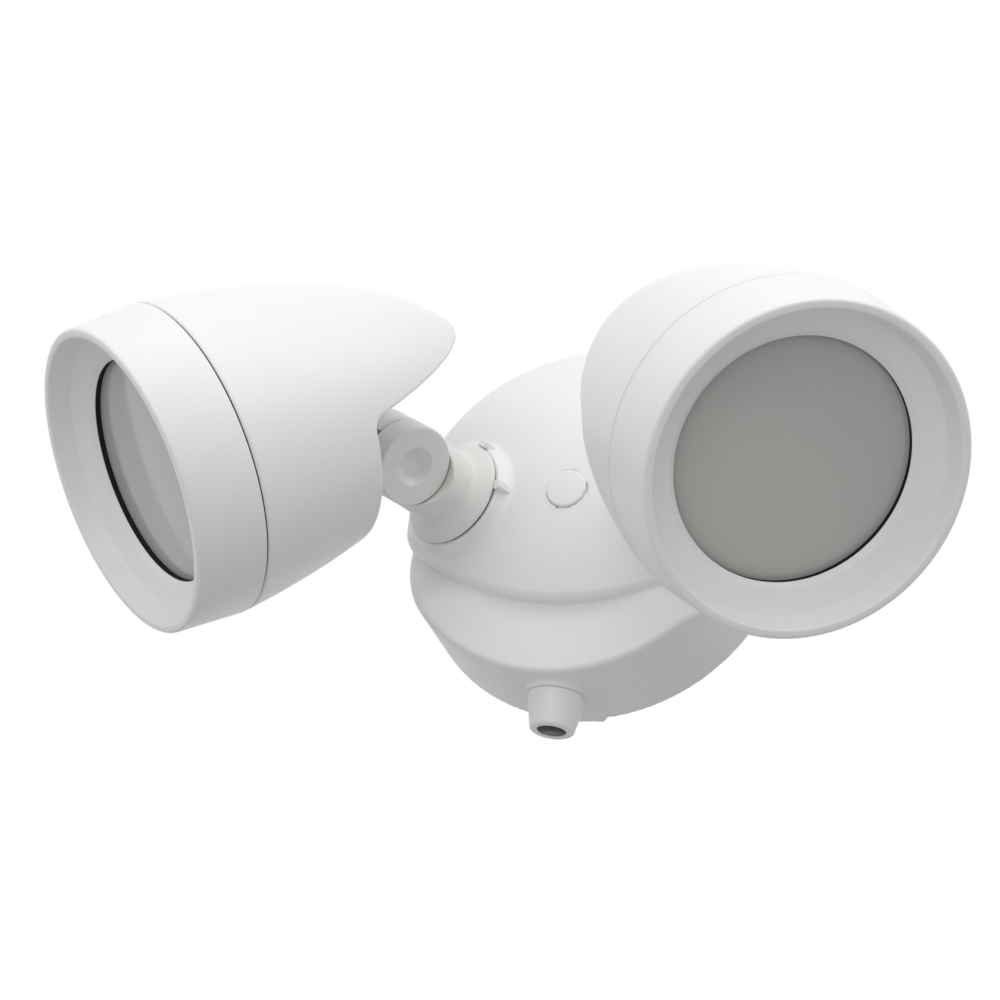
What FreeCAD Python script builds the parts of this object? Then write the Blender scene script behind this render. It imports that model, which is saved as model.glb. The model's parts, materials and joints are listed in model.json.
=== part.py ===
import FreeCAD, Part, Sketcher
import math
import os
import re

# Twin-head outdoor security light with a round wall canopy.
# The origin is the centre of the canopy's back face on the wall.
# The wall is the plane y = 0, the light faces -Y, and +Z is up. Lengths are millimetres, angles degrees.

SIZES = {
    # Canopy, measured outwards from the wall
    "canopy_radius": 63.5,
    "canopy_wall": 2.2,
    "canopy_draft": 2.6,
    "dome_height": 41.0,
    "dome_radius": 137.0,
    "shoulder_round": 10.5,
    "step_radius": 84.0,
    "step_drop": 37.0,
    "shelf_rise": 8.3,
    "lip_height": 35.2,
    "ramp_start": 27.1,
    "ramp_across_angle": 13.9,
    "ramp_down_angle": 23.5,
    "ledge_width": 6.0,
    "ledge_thick": 2.0,
    "gasket_thick": 1.5,
    "fit_gap": 0.05,
    "seat_gap": 0.2,
    # Cover plug, canopy bolt and wall strap
    "plug_radius": 6.45,
    "plug_head": 1.9,
    "plug_proud": 0.7,
    "plug_dome": 0.5,
    "plug_gap": 0.35,
    "plug_stem": 3.6,
    "post_radius": 8.0,
    "post_foot": 8.0,
    "bolt_radius": 2.5,
    "bolt_head_radius": 4.6,
    "bolt_head_thick": 3.0,
    "bolt_seat": 27.0,
    "strap_end": 4.05,
    "strap_clearance": 1.0,
    "strap_width": 20.0,
    "strap_thick": 2.0,
    "strap_spacing": 88.9,
    "strap_slot_radius": 2.4,
    "strap_slot_length": 9.0,
    "ground_screw_place": 20.0,
    "ground_screw_radius": 1.9,
    "ground_head_radius": 3.6,
    "ground_head_thick": 2.6,
    # LED driver
    "driver_length": 52.0,
    "driver_width": 30.0,
    "driver_depth": 18.0,
    "driver_back": 8.0,
    "driver_bottom": 16.0,
    "driver_screw_place": 19.0,
    "driver_screw_radius": 1.6,
    "driver_head_radius": 3.2,
    "driver_head_thick": 1.8,
    "driver_post_radius": 3.6,
    # Dusk sensor under the canopy
    "sensor_out": 19.6,
    "sensor_drop": 0.7,
    "sensor_length": 11.4,
    "sensor_base_radius": 9.5,
    "sensor_tip_radius": 7.1,
    "sensor_tip_round": 0.9,
    "sensor_seal_thick": 0.4,
    "sensor_boss_radius": 10.1,
    "sensor_boss_inside": 6.4,
    "sensor_pad_half": 10.3,
    "sensor_pad_chamfer": 1.4,
    "spigot_radius": 7.0,
    "spigot_bore": 5.2,
    "spigot_length": 12.6,
    "sensor_nut_flats": 20.0,
    "sensor_nut_thick": 3.4,
    "window_radius": 4.7,
    "window_thick": 1.6,
    "window_inset": 0.25,
    "sensor_board_thick": 1.4,
    "photocell_radius": 2.5,
    "photocell_height": 2.2,
    # Arm: its seat on the canopy and its two angles
    "arm_across": 40.7,
    "arm_out": 36.5,
    "arm_up": 0.5,
    "arm_splay_angle": 20.35,
    "arm_roll_angle": 31.3,
    "arm_gasket_thick": 0.7,
    "flange_radius": 18.0,
    "flange_thick": 3.0,
    "flange_round": 0.8,
    "boss_margin": 0.9,
    "boss_depth": 6.0,
    "boss_round": 1.2,
    "neck_radius": 12.8,
    "neck_round": 1.8,
    "stem_radius": 8.0,
    "wire_bore": 4.0,
    "stem_length": 16.0,
    "locknut_flats": 24.0,
    "locknut_thick": 5.0,
    "washer_thick": 1.2,
    "washer_radius": 13.0,
    "lug_height": 0.9,
    "high_lug_angle": 57.0,
    "high_lug_width": 4.2,
    "high_lug_length": 2.4,
    "low_lug_angle": -4.0,
    "low_lug_width": 3.4,
    "low_lug_length": 2.8,
    # Pivot between arm and head
    "pivot_reach": 27.7,
    "disc_radius": 13.3,
    "disc_face": 9.4,
    "disc_round": 0.7,
    "lap_back": 12.5,
    "disc_gap": 0.8,
    "lap_trim": 8.5,
    "friction_thick": 0.4,
    "friction_radius": 12.4,
    "pivot_screw_radius": 2.5,
    "pivot_head_radius": 4.0,
    "pivot_head_thick": 2.0,
    "pivot_nut_flats": 8.0,
    "pivot_nut_thick": 4.0,
    "dimple_radius": 6.4,
    "dimple_floor_radius": 4.2,
    "dimple_depth": 2.6,
    "pivot_cap_thick": 1.0,
    # Head, measured from the plane of its lens opening
    "head_tilt": 46.7,
    "head_offset": 25.5,
    "head_reach": 87.3,
    "rim_front": 10.7,
    "seam_back": 11.6,
    "bezel_back_radius": 49.8,
    "bezel_front_radius": 48.2,
    "rim_width": 2.8,
    "rim_round": 1.2,
    "recess_floor_radius": 43.5,
    "recess_floor_front": 4.7,
    "opening_radius": 35.4,
    "opening_lip": 1.3,
    "opening_lip_height": 0.8,
    "bezel_web": 2.0,
    "lens_radius": 41.0,
    "lens_gasket_thick": 0.6,
    "gasket_reveal": 1.2,
    "lens_thick": 3.0,
    "spigot_wall": 4.2,
    "seam_seal_thick": 0.6,
    "seam_seal_inset": 0.5,
    "shell_wall": 2.5,
    "ogive_length": 136.6,
    "ogive_radius": 51.2,
    "ogive_centre": 20.0,
    "notch_back": 57.0,
    "notch_floor": 10.8,
    "notch_slope_angle": 5.0,
    "notch_corner": 4.0,
    "notch_round": 0.8,
    "ear_stem_radius": 9.2,
    "ear_foot_radius": 12.5,
    "ear_foot_thick": 3.0,
    "ear_spigot_radius": 7.0,
    "ear_boss_thick": 3.0,
    "ear_nut_flats": 20.0,
    "ear_nut_thick": 4.0,
    "ear_seal_thick": 0.8,
    "reflector_wall": 1.0,
    "reflector_mouth": 34.6,
    "reflector_throat": 10.8,
    "reflector_depth": 17.4,
    "reflector_flange": 1.3,
    "board_radius": 18.0,
    "board_thick": 1.6,
    "emitter_radius": 9.0,
    "emitter_height": 0.5,
    "sink_radius": 40.8,
    "sink_thick": 4.0,
    "sink_ledge_radius": 36.0,
    "sink_ledge_thick": 3.0,
    "sink_screw_circle": 38.6,
    "sink_screw_radius": 1.2,
    "sink_screw_head": 2.1,
    "sink_screw_head_thick": 1.2,
    "fin_height": 6.5,
    "fin_thick": 1.6,
    "fin_pitch": 7.5,
    "fin_reach": 30.0,
}
FIN_COUNT = 7
SINK_SCREWS = 3

doc = FreeCAD.newDocument("security_light")
sheet = doc.addObject("Spreadsheet::Sheet", "Sizes")
for row, (alias, number) in enumerate(SIZES.items(), start=1):
    sheet.set(f"A{row}", alias)
    sheet.set(f"B{row}", str(number))
    sheet.setAlias(f"B{row}", alias)
doc.recompute()

V = FreeCAD.Vector
NAME = re.compile(r"[a-z][a-z_]*[a-z]")
nodes = []


def size(alias):
    """A driving dimension, read back from the sheet."""
    return float(sheet.get(alias))


def bind(thing, slot, formula):
    """Tie a property to a formula whose words are names in the sheet."""
    text = NAME.sub(lambda word: "Sizes." + word.group() if word.group() in SIZES else word.group(), str(formula))
    thing.setExpression(slot, text)


def placed(thing, x="0", y="0", z="0"):
    """Tie a feature's position in its own frame to formulas."""
    for axis, formula in zip("xyz", (x, y, z)):
        bind(thing, f"Placement.Base.{axis}", formula)
    return thing


def turn(thing, axis, angle):
    """Turn a feature about an axis of its own frame, before its position is tied."""
    thing.Placement = FreeCAD.Placement(V(), FreeCAD.Rotation(axis, angle))
    return thing


def cylinder(radius, height, x="0", y="0", z="0", axis=None, angle=0):
    """A cylinder along Z, or turned about an axis."""
    made = doc.addObject("Part::Cylinder", "round")
    bind(made, "Radius", radius)
    bind(made, "Height", height)
    if axis is not None:
        turn(made, axis, angle)
    return placed(made, x, y, z)


def cone(radius, top_radius, height, z="0"):
    """A cone or tapered disc along Z."""
    made = doc.addObject("Part::Cone", "taper")
    bind(made, "Radius1", radius)
    bind(made, "Radius2", top_radius)
    bind(made, "Height", height)
    return placed(made, z=z)


def sphere(radius, z):
    """A ball on the Z axis."""
    made = doc.addObject("Part::Sphere", "ball")
    bind(made, "Radius", radius)
    return placed(made, z=z)


def ellipsoid(length, radius, z):
    """An egg-like solid whose long axis is Z."""
    made = doc.addObject("Part::Ellipsoid", "ogive")
    bind(made, "Radius1", length)
    bind(made, "Radius2", radius)
    bind(made, "Radius3", radius)
    made.Angle1 = -90
    return placed(made, z=z)


def box(length, width, height, x, y, z):
    """A box from its lowest corner."""
    made = doc.addObject("Part::Box", "block")
    bind(made, "Length", length)
    bind(made, "Width", width)
    bind(made, "Height", height)
    return placed(made, x, y, z)


def hexagon(flats, height, z="0"):
    """A six-sided bar along Z, sized across its flats."""
    made = doc.addObject("Part::Prism", "hexagon")
    made.Polygon = 6
    bind(made, "Circumradius", f"({flats}) / sqrt(3)")
    bind(made, "Height", height)
    return placed(made, z=z)


def fuse(*pieces):
    """Several features as one solid."""
    made = doc.addObject("Part::MultiFuse", "joined")
    made.Shapes = list(pieces)
    made.Refine = True
    return made


def cut(base, *tools):
    """A feature less the others."""
    made = doc.addObject("Part::Cut", "cut")
    made.Base = base
    made.Tool = tools[0] if len(tools) == 1 else fuse_plain(*tools)
    return made


def fuse_plain(*pieces):
    """Several tools as one, without merging their faces."""
    made = doc.addObject("Part::MultiFuse", "tools")
    made.Shapes = list(pieces)
    return made


def common(first, second):
    """What two features share."""
    made = doc.addObject("Part::Common", "shared")
    made.Base = first
    made.Tool = second
    return made


def rounded(base, radius, chosen):
    """Round the edges of a feature for which chosen(edge) is true."""
    doc.recompute()
    picked = [number for number, edge in enumerate(base.Shape.Edges, start=1) if chosen(edge)]
    made = doc.addObject("Part::Fillet", "rounded")
    made.Base = base
    made.Edges = [(number, radius, radius) for number in picked]
    doc.recompute()
    return made


def turned(outline, rounds=None):
    """A body of revolution about Z from corners given as (radius, height) formulas."""
    body = doc.addObject("PartDesign::Body", "turned")
    sketch = body.newObject("Sketcher::SketchObject", "outline")
    plane = [part for part in body.Origin.OriginFeatures if part.Role == "XZ_Plane"][0]
    sketch.AttachmentSupport = (plane, [""])
    sketch.MapMode = "FlatFace"
    total = len(outline)
    start = [V(20 + 10 * math.cos(math.tau * k / total), 10 * math.sin(math.tau * k / total), 0) for k in range(total)]
    for k in range(total):
        sketch.addGeometry(Part.LineSegment(start[k], start[(k + 1) % total]), False)
    for k in range(total):
        sketch.addConstraint(Sketcher.Constraint("Coincident", k, 2, (k + 1) % total, 1))
    for k, (radius, height) in enumerate(outline):
        across = sketch.addConstraint(Sketcher.Constraint("DistanceX", -1, 1, k, 1, start[k].x))
        bind(sketch, f"Constraints[{across}]", radius)
        along = sketch.addConstraint(Sketcher.Constraint("DistanceY", -1, 1, k, 1, start[k].y))
        bind(sketch, f"Constraints[{along}]", height)
    spun = body.newObject("PartDesign::Revolution", "spun")
    spun.Profile = sketch
    spun.ReferenceAxis = (sketch, ["V_Axis"])
    spun.Angle = 360
    body.Tip = spun
    doc.recompute()
    for corner, radius in (rounds or {}).items():
        soften(body, sketch.Geometry[corner].StartPoint, radius)
    return body


def soften(body, corner, radius):
    """Round the circular edge that one corner of a turned outline makes."""
    base = body.Tip
    names = []
    for number, edge in enumerate(base.Shape.Edges, start=1):
        curve = edge.Curve
        if isinstance(curve, Part.Circle) and abs(curve.Radius - corner.x) + abs(curve.Center.z - corner.y) < 1e-4:
            names.append(f"Edge{number}")
    made = body.newObject("PartDesign::Fillet", "softened")
    made.Base = (base, names)
    bind(made, "Radius", radius)
    body.Tip = made
    doc.recompute()


def node(label, thing, frame):
    """Name a finished sub-part and put it in its place."""
    if thing.TypeId == "PartDesign::Body" or not thing.ExpressionEngine:
        thing.Placement = frame
    else:
        holder = doc.addObject("Part::Compound", "holder")
        holder.Links = [thing]
        holder.Placement = frame
        thing = holder
    thing.Label = label
    nodes.append(thing)
    return thing


# Frames: the canopy's points out of the wall, the arms' along their stems, the heads' along their light

CANOPY = FreeCAD.Placement(V(), FreeCAD.Rotation(V(1, 0, 0), 90))
SENSOR_SEAT = "(canopy_radius + sensor_drop)"
SENSOR_LOW = -size("canopy_radius") - size("sensor_drop")
SENSOR = FreeCAD.Placement(V(0, -size("sensor_out"), SENSOR_LOW), FreeCAD.Rotation(V(1, 0, 0), 180))


def arm_frame(hand):
    """Origin on the canopy's arm boss, Z along the arm, Y along the pivot; hand is 1 right, -1 left."""
    splay = math.radians(size("arm_splay_angle"))
    roll = math.radians(size("arm_roll_angle"))
    along = V(hand * math.sin(splay), -math.cos(splay), 0)
    side = V(hand * math.cos(splay), math.sin(splay), 0)
    up = V(0, 0, math.cos(roll)) - side * math.sin(roll)
    seat = V(hand * size("arm_across"), -size("arm_out"), size("arm_up"))
    return FreeCAD.Placement(seat, FreeCAD.Rotation(up, along.cross(up), along, "ZXY"))


def head_in_arm():
    """The head's frame, at the centre of its lens opening, as seen from the arm's frame."""
    tilt = FreeCAD.Rotation(V(0, 1, 0), -size("head_tilt"))
    pivot = V(0, 0, size("pivot_reach"))
    return FreeCAD.Placement(pivot + tilt.multVec(V(size("head_offset"), 0, size("head_reach"))), tilt)


def head_frame(hand):
    """Origin at the centre of the lens opening, Z along the light, X away from the pivot."""
    return arm_frame(hand).multiply(head_in_arm())


# Canopy


def canopy_block(inset):
    """The canopy's outer form, or with an inset the form of its cavity."""
    reach = f"(lip_height + 8)"
    wall = cone(f"canopy_radius - {inset}", f"canopy_radius - {inset} - {reach} * tan(canopy_draft)", reach)
    ball = sphere(f"dome_radius - {inset}", "dome_height - dome_radius")
    dome = rounded(common(wall, ball), size("shoulder_round"), shoulder_edge)
    inside_step = cylinder(f"step_radius - {inset}", "dome_height + 10", y="step_radius - step_drop", z="-5")
    face = common(dome, inside_step)
    return fuse(face, chin_block(inset, reach))


def chin_block(inset, reach):
    """The lower step of the canopy, whose face rises outwards to a lip."""
    wall = cone(f"canopy_radius - {inset}", f"canopy_radius - {inset} - {reach} * tan(canopy_draft)", reach)
    apex = f"lip_height - {inset} - canopy_radius * tan(shelf_rise)"
    above = cone("0.001", "2 * canopy_radius", "2 * canopy_radius * tan(shelf_rise)", z=apex)
    return cut(wall, above, ramp(1, inset), ramp(-1, inset), upper_half(inset))


def ramp(hand, inset):
    """A wedge of space whose under face slopes down from the chin's lip to the canopy's shoulder."""
    made = doc.addObject("Part::Box", "ramp")
    reach = 2.4 * size("canopy_radius")
    made.Length = made.Width = 2 * reach
    made.Height = reach
    lean = FreeCAD.Rotation(V(1, 0, 0), -size("ramp_down_angle")).multiply(FreeCAD.Rotation(V(0, 1, 0), hand * size("ramp_across_angle")))
    made.Placement = FreeCAD.Placement(lean.multVec(V(-reach, -reach, 0)), lean)
    holder = doc.addObject("Part::Compound", "ramp_place")
    holder.Links = [made]
    return placed(holder, z=f"ramp_start - {inset}")


def upper_half(inset):
    """The space above the arms, where the canopy has no lower step."""
    return box("4 * canopy_radius", "2 * canopy_radius", "2 * dome_height", "-2 * canopy_radius", "-8", f"3 - {inset}")


def shoulder_edge(edge):
    """The round edge where the dome meets the side wall."""
    return edge.BoundBox.ZMin > 5 and edge.BoundBox.XLength > size("canopy_radius")


def in_arm(thing, hand):
    """A feature made in the arm's frame, carried into the canopy's."""
    holder = doc.addObject("Part::Compound", "arm_place")
    holder.Links = [thing]
    holder.Placement = CANOPY.inverse().multiply(arm_frame(hand))
    return holder


def arm_boss(hand):
    """The raised round seat that the arm's flange turns on."""
    made = cylinder("flange_radius + boss_margin", "boss_depth", z="-boss_depth")
    return in_arm(rounded(made, size("boss_round"), lambda edge: edge.BoundBox.ZMin > -0.1), hand)


def stop_lugs(hand):
    """Two cast lugs beside the flange that mark the ends of the arm's swivel."""
    lugs = []
    for place in ("high", "low"):
        wide = size(f"{place}_lug_width")
        lug = doc.addObject("Part::Box", "lug")
        lug.Length, lug.Width, lug.Height = size(f"{place}_lug_length"), wide, size("boss_depth") + size("lug_height")
        heading = FreeCAD.Rotation(V(0, 0, 1), lug_heading(hand, size(f"{place}_lug_angle")))
        corner = heading.multVec(V(size("flange_radius") + size("seat_gap"), -wide / 2, -size("boss_depth")))
        lug.Placement = FreeCAD.Placement(corner, heading)
        lugs.append(in_arm(lug, hand))
    return lugs


def lug_heading(hand, turn_angle):
    """The heading of a lug in the arm's frame, from its angle above the level line to the canopy's middle."""
    frame = arm_frame(hand)
    level = frame.Rotation.inverted().multVec(V(-hand, 0, 0))
    up = frame.Rotation.inverted().multVec(V(0, 0, 1))
    first = math.degrees(math.atan2(level.y, level.x))
    side = 1 if level.cross(up).z > 0 else -1
    return first + side * turn_angle


def post(radius, x, y, foot, outer):
    """A post from a foot to the inside of the dome."""
    return common(cylinder(radius, f"dome_height + 5 - ({foot})", x, y, foot), outer)


def sensor_boss():
    """The flat boss and the pad under the canopy that carry the dusk sensor."""
    low = f"-{SENSOR_SEAT}"
    boss = cylinder("sensor_boss_radius", "sensor_boss_inside", "0", low, "sensor_out", V(1, 0, 0), -90)
    pad = box("2 * sensor_pad_half", "sensor_drop + canopy_wall", "sensor_out", "-sensor_pad_half", low, "0")
    chosen = lambda edge: abs(edge.BoundBox.YMax - SENSOR_LOW) < 0.01 and edge.BoundBox.ZLength > 5
    doc.recompute()
    bevelled = doc.addObject("Part::Chamfer", "bevelled")
    bevelled.Base = pad
    width = size("sensor_pad_chamfer")
    picked = [number for number, edge in enumerate(pad.Shape.Edges, start=1) if chosen(edge)]
    bevelled.Edges = [(number, width, width) for number in picked]
    return boss, bevelled


def canopy_housing():
    """The hollow die-cast cover with its bosses, posts and holes."""
    outer = canopy_block("0")
    cavity = canopy_block("canopy_wall")
    boss, pad = sensor_boss()
    lugs = stop_lugs(1) + stop_lugs(-1)
    hollow = cut(outer, cavity)
    ledge_radius = "canopy_radius - canopy_wall - ledge_width"
    ring = cut(
        cylinder("canopy_radius - 1", "ledge_thick", z="gasket_thick"),
        cylinder(ledge_radius, "ledge_thick + 2", z="gasket_thick - 1"),
        strap_block("strap_clearance", "strap_thick + strap_clearance"),
    )
    posts = [post("post_radius", "0", "0", "post_foot", outer)]
    middle = "driver_bottom + driver_width / 2"
    for side in ("-", ""):
        place = f"{side}driver_screw_place"
        posts.append(post("driver_post_radius", place, middle, "driver_back + driver_depth", outer))
    whole = fuse(hollow, ring, arm_boss(1), arm_boss(-1), boss, pad, *lugs, *posts)
    holes = [in_arm(cylinder("stem_radius + fit_gap", "boss_depth + 12", z="-boss_depth - 6"), hand) for hand in (1, -1)]
    holes.append(cylinder("bolt_radius + fit_gap", "dome_height + 10", z="-2"))
    holes.append(cylinder("bolt_head_radius + plug_gap", "dome_height", z="bolt_seat"))
    holes.append(cylinder("plug_radius + plug_gap", "dome_height", z="dome_height + plug_proud - plug_head"))
    opening = cylinder("spigot_radius + fit_gap", "spigot_length + 4", "0", f"-{SENSOR_SEAT} - 1", "sensor_out", V(1, 0, 0), -90)
    holes.append(opening)
    for side in ("-", ""):
        start = "driver_back + driver_depth - 2"
        holes.append(cylinder("driver_screw_radius", "8", f"{side}driver_screw_place", middle, start))
    return cut(whole, *holes)


def canopy_pieces():
    """The canopy and what is fixed to it."""
    node("canopy_housing", canopy_housing(), CANOPY)
    inner = "canopy_radius - canopy_wall - seat_gap"
    ring = [(f"{inner} - ledge_width", "0"), (inner, "0"), (inner, "gasket_thick"), (f"{inner} - ledge_width", "gasket_thick")]
    node("wall_gasket", cut(turned(ring), strap_block("strap_clearance", "strap_thick + strap_clearance")), CANOPY)
    node("mounting_strap", mounting_strap(), CANOPY)
    bolt = [
        ("0", "strap_thick / 4"), ("bolt_radius", "strap_thick / 4"), ("bolt_radius", "bolt_seat"),
        ("bolt_head_radius", "bolt_seat"), ("bolt_head_radius", "bolt_seat + bolt_head_thick"),
        ("0", "bolt_seat + bolt_head_thick"),
    ]
    node("canopy_bolt", turned(bolt, {4: "bolt_head_thick / 4"}), CANOPY)
    node("bolt_plug", bolt_plug(), CANOPY)
    ground = fuse(
        hexagon("2 * ground_head_radius", "ground_head_thick", z="strap_thick"),
        cylinder("ground_screw_radius", "strap_thick", z="strap_thick / 8"),
    )
    frame = CANOPY.multiply(FreeCAD.Placement(V(size("ground_screw_place"), 0, 0), FreeCAD.Rotation()))
    node("ground_screw", ground, frame)
    driver_pieces()
    sensor_pieces()


def strap_block(gap, high):
    """A block as long and wide as the strap, with a gap all round."""
    long = "strap_spacing + strap_slot_length + 2 * strap_end"
    return box(f"{long} + 2 * {gap}", f"strap_width + 2 * {gap}", high, f"-({long}) / 2 - {gap}", f"-strap_width / 2 - {gap}", "0")


def mounting_strap():
    """The flat bar that screws to the wall box and takes the canopy bolt."""
    bar = strap_block("0", "strap_thick")
    bar = rounded(bar, size("strap_width") / 4, lambda edge: edge.BoundBox.ZLength > size("strap_thick") * 0.9)
    tools = [cylinder("bolt_radius + fit_gap", "strap_thick + 2", z="-1")]
    tools.append(cylinder("ground_screw_radius + fit_gap", "strap_thick + 2", x="ground_screw_place", z="-1"))
    for side in (-1, 1):
        middle = f"{side} * strap_spacing / 2"
        low = f"{middle} - strap_slot_length / 2 + strap_slot_radius"
        high = f"{middle} + strap_slot_length / 2 - strap_slot_radius"
        span = "strap_slot_length - 2 * strap_slot_radius"
        tools.append(cylinder("strap_slot_radius", "strap_thick + 2", x=low, z="-1"))
        tools.append(cylinder("strap_slot_radius", "strap_thick + 2", x=high, z="-1"))
        tools.append(box(span, "2 * strap_slot_radius", "strap_thick + 2", low, "-strap_slot_radius", "-1"))
    return cut(bar, *tools)


def bolt_plug():
    """The small domed plug over the canopy bolt."""
    top = "dome_height + plug_proud"
    low = f"{top} - plug_head"
    foot = "bolt_seat + bolt_head_thick + seat_gap"
    corners = [
        ("0", foot), ("plug_stem", foot), ("plug_stem", low), ("plug_radius", low),
        ("plug_radius", top), ("0", top),
    ]
    return turned(corners, {4: "plug_dome"})


def driver_pieces():
    """The potted driver and its two screws."""
    block = box("driver_length", "driver_width", "driver_depth", "-driver_length / 2", "driver_bottom", "driver_back")
    block = rounded(block, 2.0, lambda edge: edge.BoundBox.ZLength > 10)
    middle = "driver_bottom + driver_width / 2"
    bores = []
    screws = []
    for side in ("-", ""):
        place = f"{side}driver_screw_place"
        bores.append(cylinder("driver_screw_radius + fit_gap", "driver_depth + 2", place, middle, "driver_back - 1"))
        shank = cylinder("driver_screw_radius", "driver_depth + 5", place, middle, "driver_back")
        head = cylinder("driver_head_radius", "driver_head_thick", place, middle, "driver_back - driver_head_thick")
        screws.append(fuse(shank, head))
    node("led_driver", cut(block, *bores), CANOPY)
    group = doc.addObject("Part::Compound", "driver_screws")
    group.Links = screws
    node("driver_screws", group, CANOPY)


def sensor_pieces():
    """The dusk sensor: its snout, window, seal, nut, board and cell."""
    base = "sensor_seal_thick"
    tip = "sensor_seal_thick + sensor_length"
    seat = f"{tip} - window_thick - window_inset"
    snout = [
        ("spigot_bore", "-spigot_length"), ("spigot_radius", "-spigot_length"), ("spigot_radius", base),
        ("sensor_base_radius", base), ("sensor_tip_radius", tip), ("window_radius + fit_gap", tip),
        ("window_radius + fit_gap", seat), ("window_radius - 0.7", seat), ("window_radius - 0.7", "2"), ("spigot_bore", "2"),
    ]
    node("sensor_snout", turned(snout, {4: "sensor_tip_round"}), SENSOR)
    node("sensor_window", cylinder_node("window_radius", "window_thick", seat), SENSOR)
    seal = [
        ("spigot_radius + fit_gap", "0"), ("sensor_base_radius - seat_gap", "0"),
        ("sensor_base_radius - seat_gap", base), ("spigot_radius + fit_gap", base),
    ]
    node("sensor_seal", turned(seal), SENSOR)
    low = "-sensor_boss_inside - sensor_nut_thick"
    nut = cut(hexagon("sensor_nut_flats", "sensor_nut_thick", z=low), cylinder("spigot_radius + fit_gap", "9", z=f"{low} - 2"))
    node("sensor_nut", nut, SENSOR)
    board = [
        ("0", "2 - photocell_height - sensor_board_thick"), ("spigot_bore - fit_gap", "2 - photocell_height - sensor_board_thick"),
        ("spigot_bore - fit_gap", "2 - photocell_height"), ("0", "2 - photocell_height"),
    ]
    node("sensor_board", turned(board), SENSOR)
    node("photocell", cylinder_node("photocell_radius", "photocell_height", "2 - photocell_height"), SENSOR)


def cylinder_node(radius, height, z):
    """A plain disc made as a turned body."""
    return turned([("0", z), (radius, z), (radius, f"{z} + {height}"), ("0", f"{z} + {height}")])


# Arms


def washer(inner, outer, low, thick):
    """A flat ring between two heights."""
    return turned([(inner, low), (outer, low), (outer, f"{low} + {thick}"), (inner, f"{low} + {thick}")])


def across(radius, near, far, hand, z="pivot_reach"):
    """A cylinder along the pivot axis; near and far are heights on the side that faces the middle."""
    span = f"({far}) - ({near})"
    if hand > 0:
        return cylinder(radius, span, "0", f"{near}", z, V(1, 0, 0), -90)
    return cylinder(radius, span, "0", f"-({near})", z, V(1, 0, 0), 90)


def lap_gap():
    """Half the space between the two laps of the pivot."""
    return "(friction_thick / 2 + fit_gap)"


def half_space(near, far, low, high, hand):
    """A block over the whole width between two heights on the pivot axis and two along the arm."""
    side = f"({near})" if hand > 0 else f"-({far})"
    return box("4 * neck_radius", f"({far}) - ({near})", f"({high}) - ({low})", "-2 * neck_radius", side, low)


def arm(hand):
    """The cast arm: threaded stem, flange, neck and the far lap of the pivot."""
    top = "arm_gasket_thick + flange_thick"
    stem = [
        ("wire_bore", "-stem_length"), ("stem_radius", "-stem_length"), ("stem_radius", "arm_gasket_thick + fit_gap"),
        ("flange_radius", "arm_gasket_thick + fit_gap"), ("flange_radius", top), ("neck_radius", top),
        ("neck_radius", "pivot_reach"), ("wire_bore", "pivot_reach"),
    ]
    root = turned(stem, {4: "flange_round", 5: "neck_round", 3: "flange_round / 4"})
    lap = across("disc_radius", "-lap_back", f"-{lap_gap()}", hand)
    lap = rounded(lap, size("disc_round"), lambda edge: abs(edge.CenterOfMass.y) > size("lap_back") - 0.1)
    whole = fuse(root, lap)
    tools = [
        across("disc_radius + disc_gap", f"-{lap_gap()}", "2 * neck_radius", hand),
        half_space(f"-{lap_gap()}", "2 * neck_radius", "pivot_reach - lap_trim", "pivot_reach + neck_radius * 2", hand),
        across("pivot_screw_radius + fit_gap", "-2 * neck_radius", "2 * neck_radius", hand),
        nut_pocket(hand, "pivot_nut_flats + 2 * fit_gap"),
    ]
    return cut(whole, *tools)


def nut_pocket(hand, flats):
    """A six-sided bar along the pivot axis at the far end of its screw."""
    bar = hexagon(flats, "pivot_nut_thick + 4")
    holder = doc.addObject("Part::Compound", "nut_place")
    holder.Links = [bar]
    turn(holder, V(1, 0, 0), 90 if hand > 0 else -90)
    start = "-lap_back + pivot_nut_thick"
    return placed(holder, y=start if hand > 0 else f"-({start})", z="pivot_reach")


def pivot_screw(hand):
    """The shoulder screw through both laps."""
    seat = "disc_face - dimple_depth - pivot_cap_thick - fit_gap - pivot_head_thick"
    shank = across("pivot_screw_radius", "-lap_back + 0.5", f"{seat} + 1", hand)
    return fuse(shank, across("pivot_head_radius", seat, f"{seat} + pivot_head_thick", hand))


def pivot_nut(hand):
    """The captive nut in the arm's lap."""
    low = "-lap_back + 0.3"
    bar = hexagon("pivot_nut_flats", "pivot_nut_thick - 0.4")
    holder = doc.addObject("Part::Compound", "nut_place")
    holder.Links = [bar]
    turn(holder, V(1, 0, 0), -90 if hand > 0 else 90)
    placed(holder, y=low if hand > 0 else f"-({low})", z="pivot_reach")
    bore = across("pivot_screw_radius + fit_gap", "-2 * neck_radius", "neck_radius", hand)
    return cut(holder, bore)


def friction_disc(hand):
    """The fibre washer that holds the tilt."""
    near = "-friction_thick / 2 - fit_gap"
    ring = across("friction_radius", near, f"{near} + friction_thick", hand)
    return cut(ring, across("pivot_screw_radius + fit_gap", "-neck_radius", "neck_radius", hand))


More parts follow.
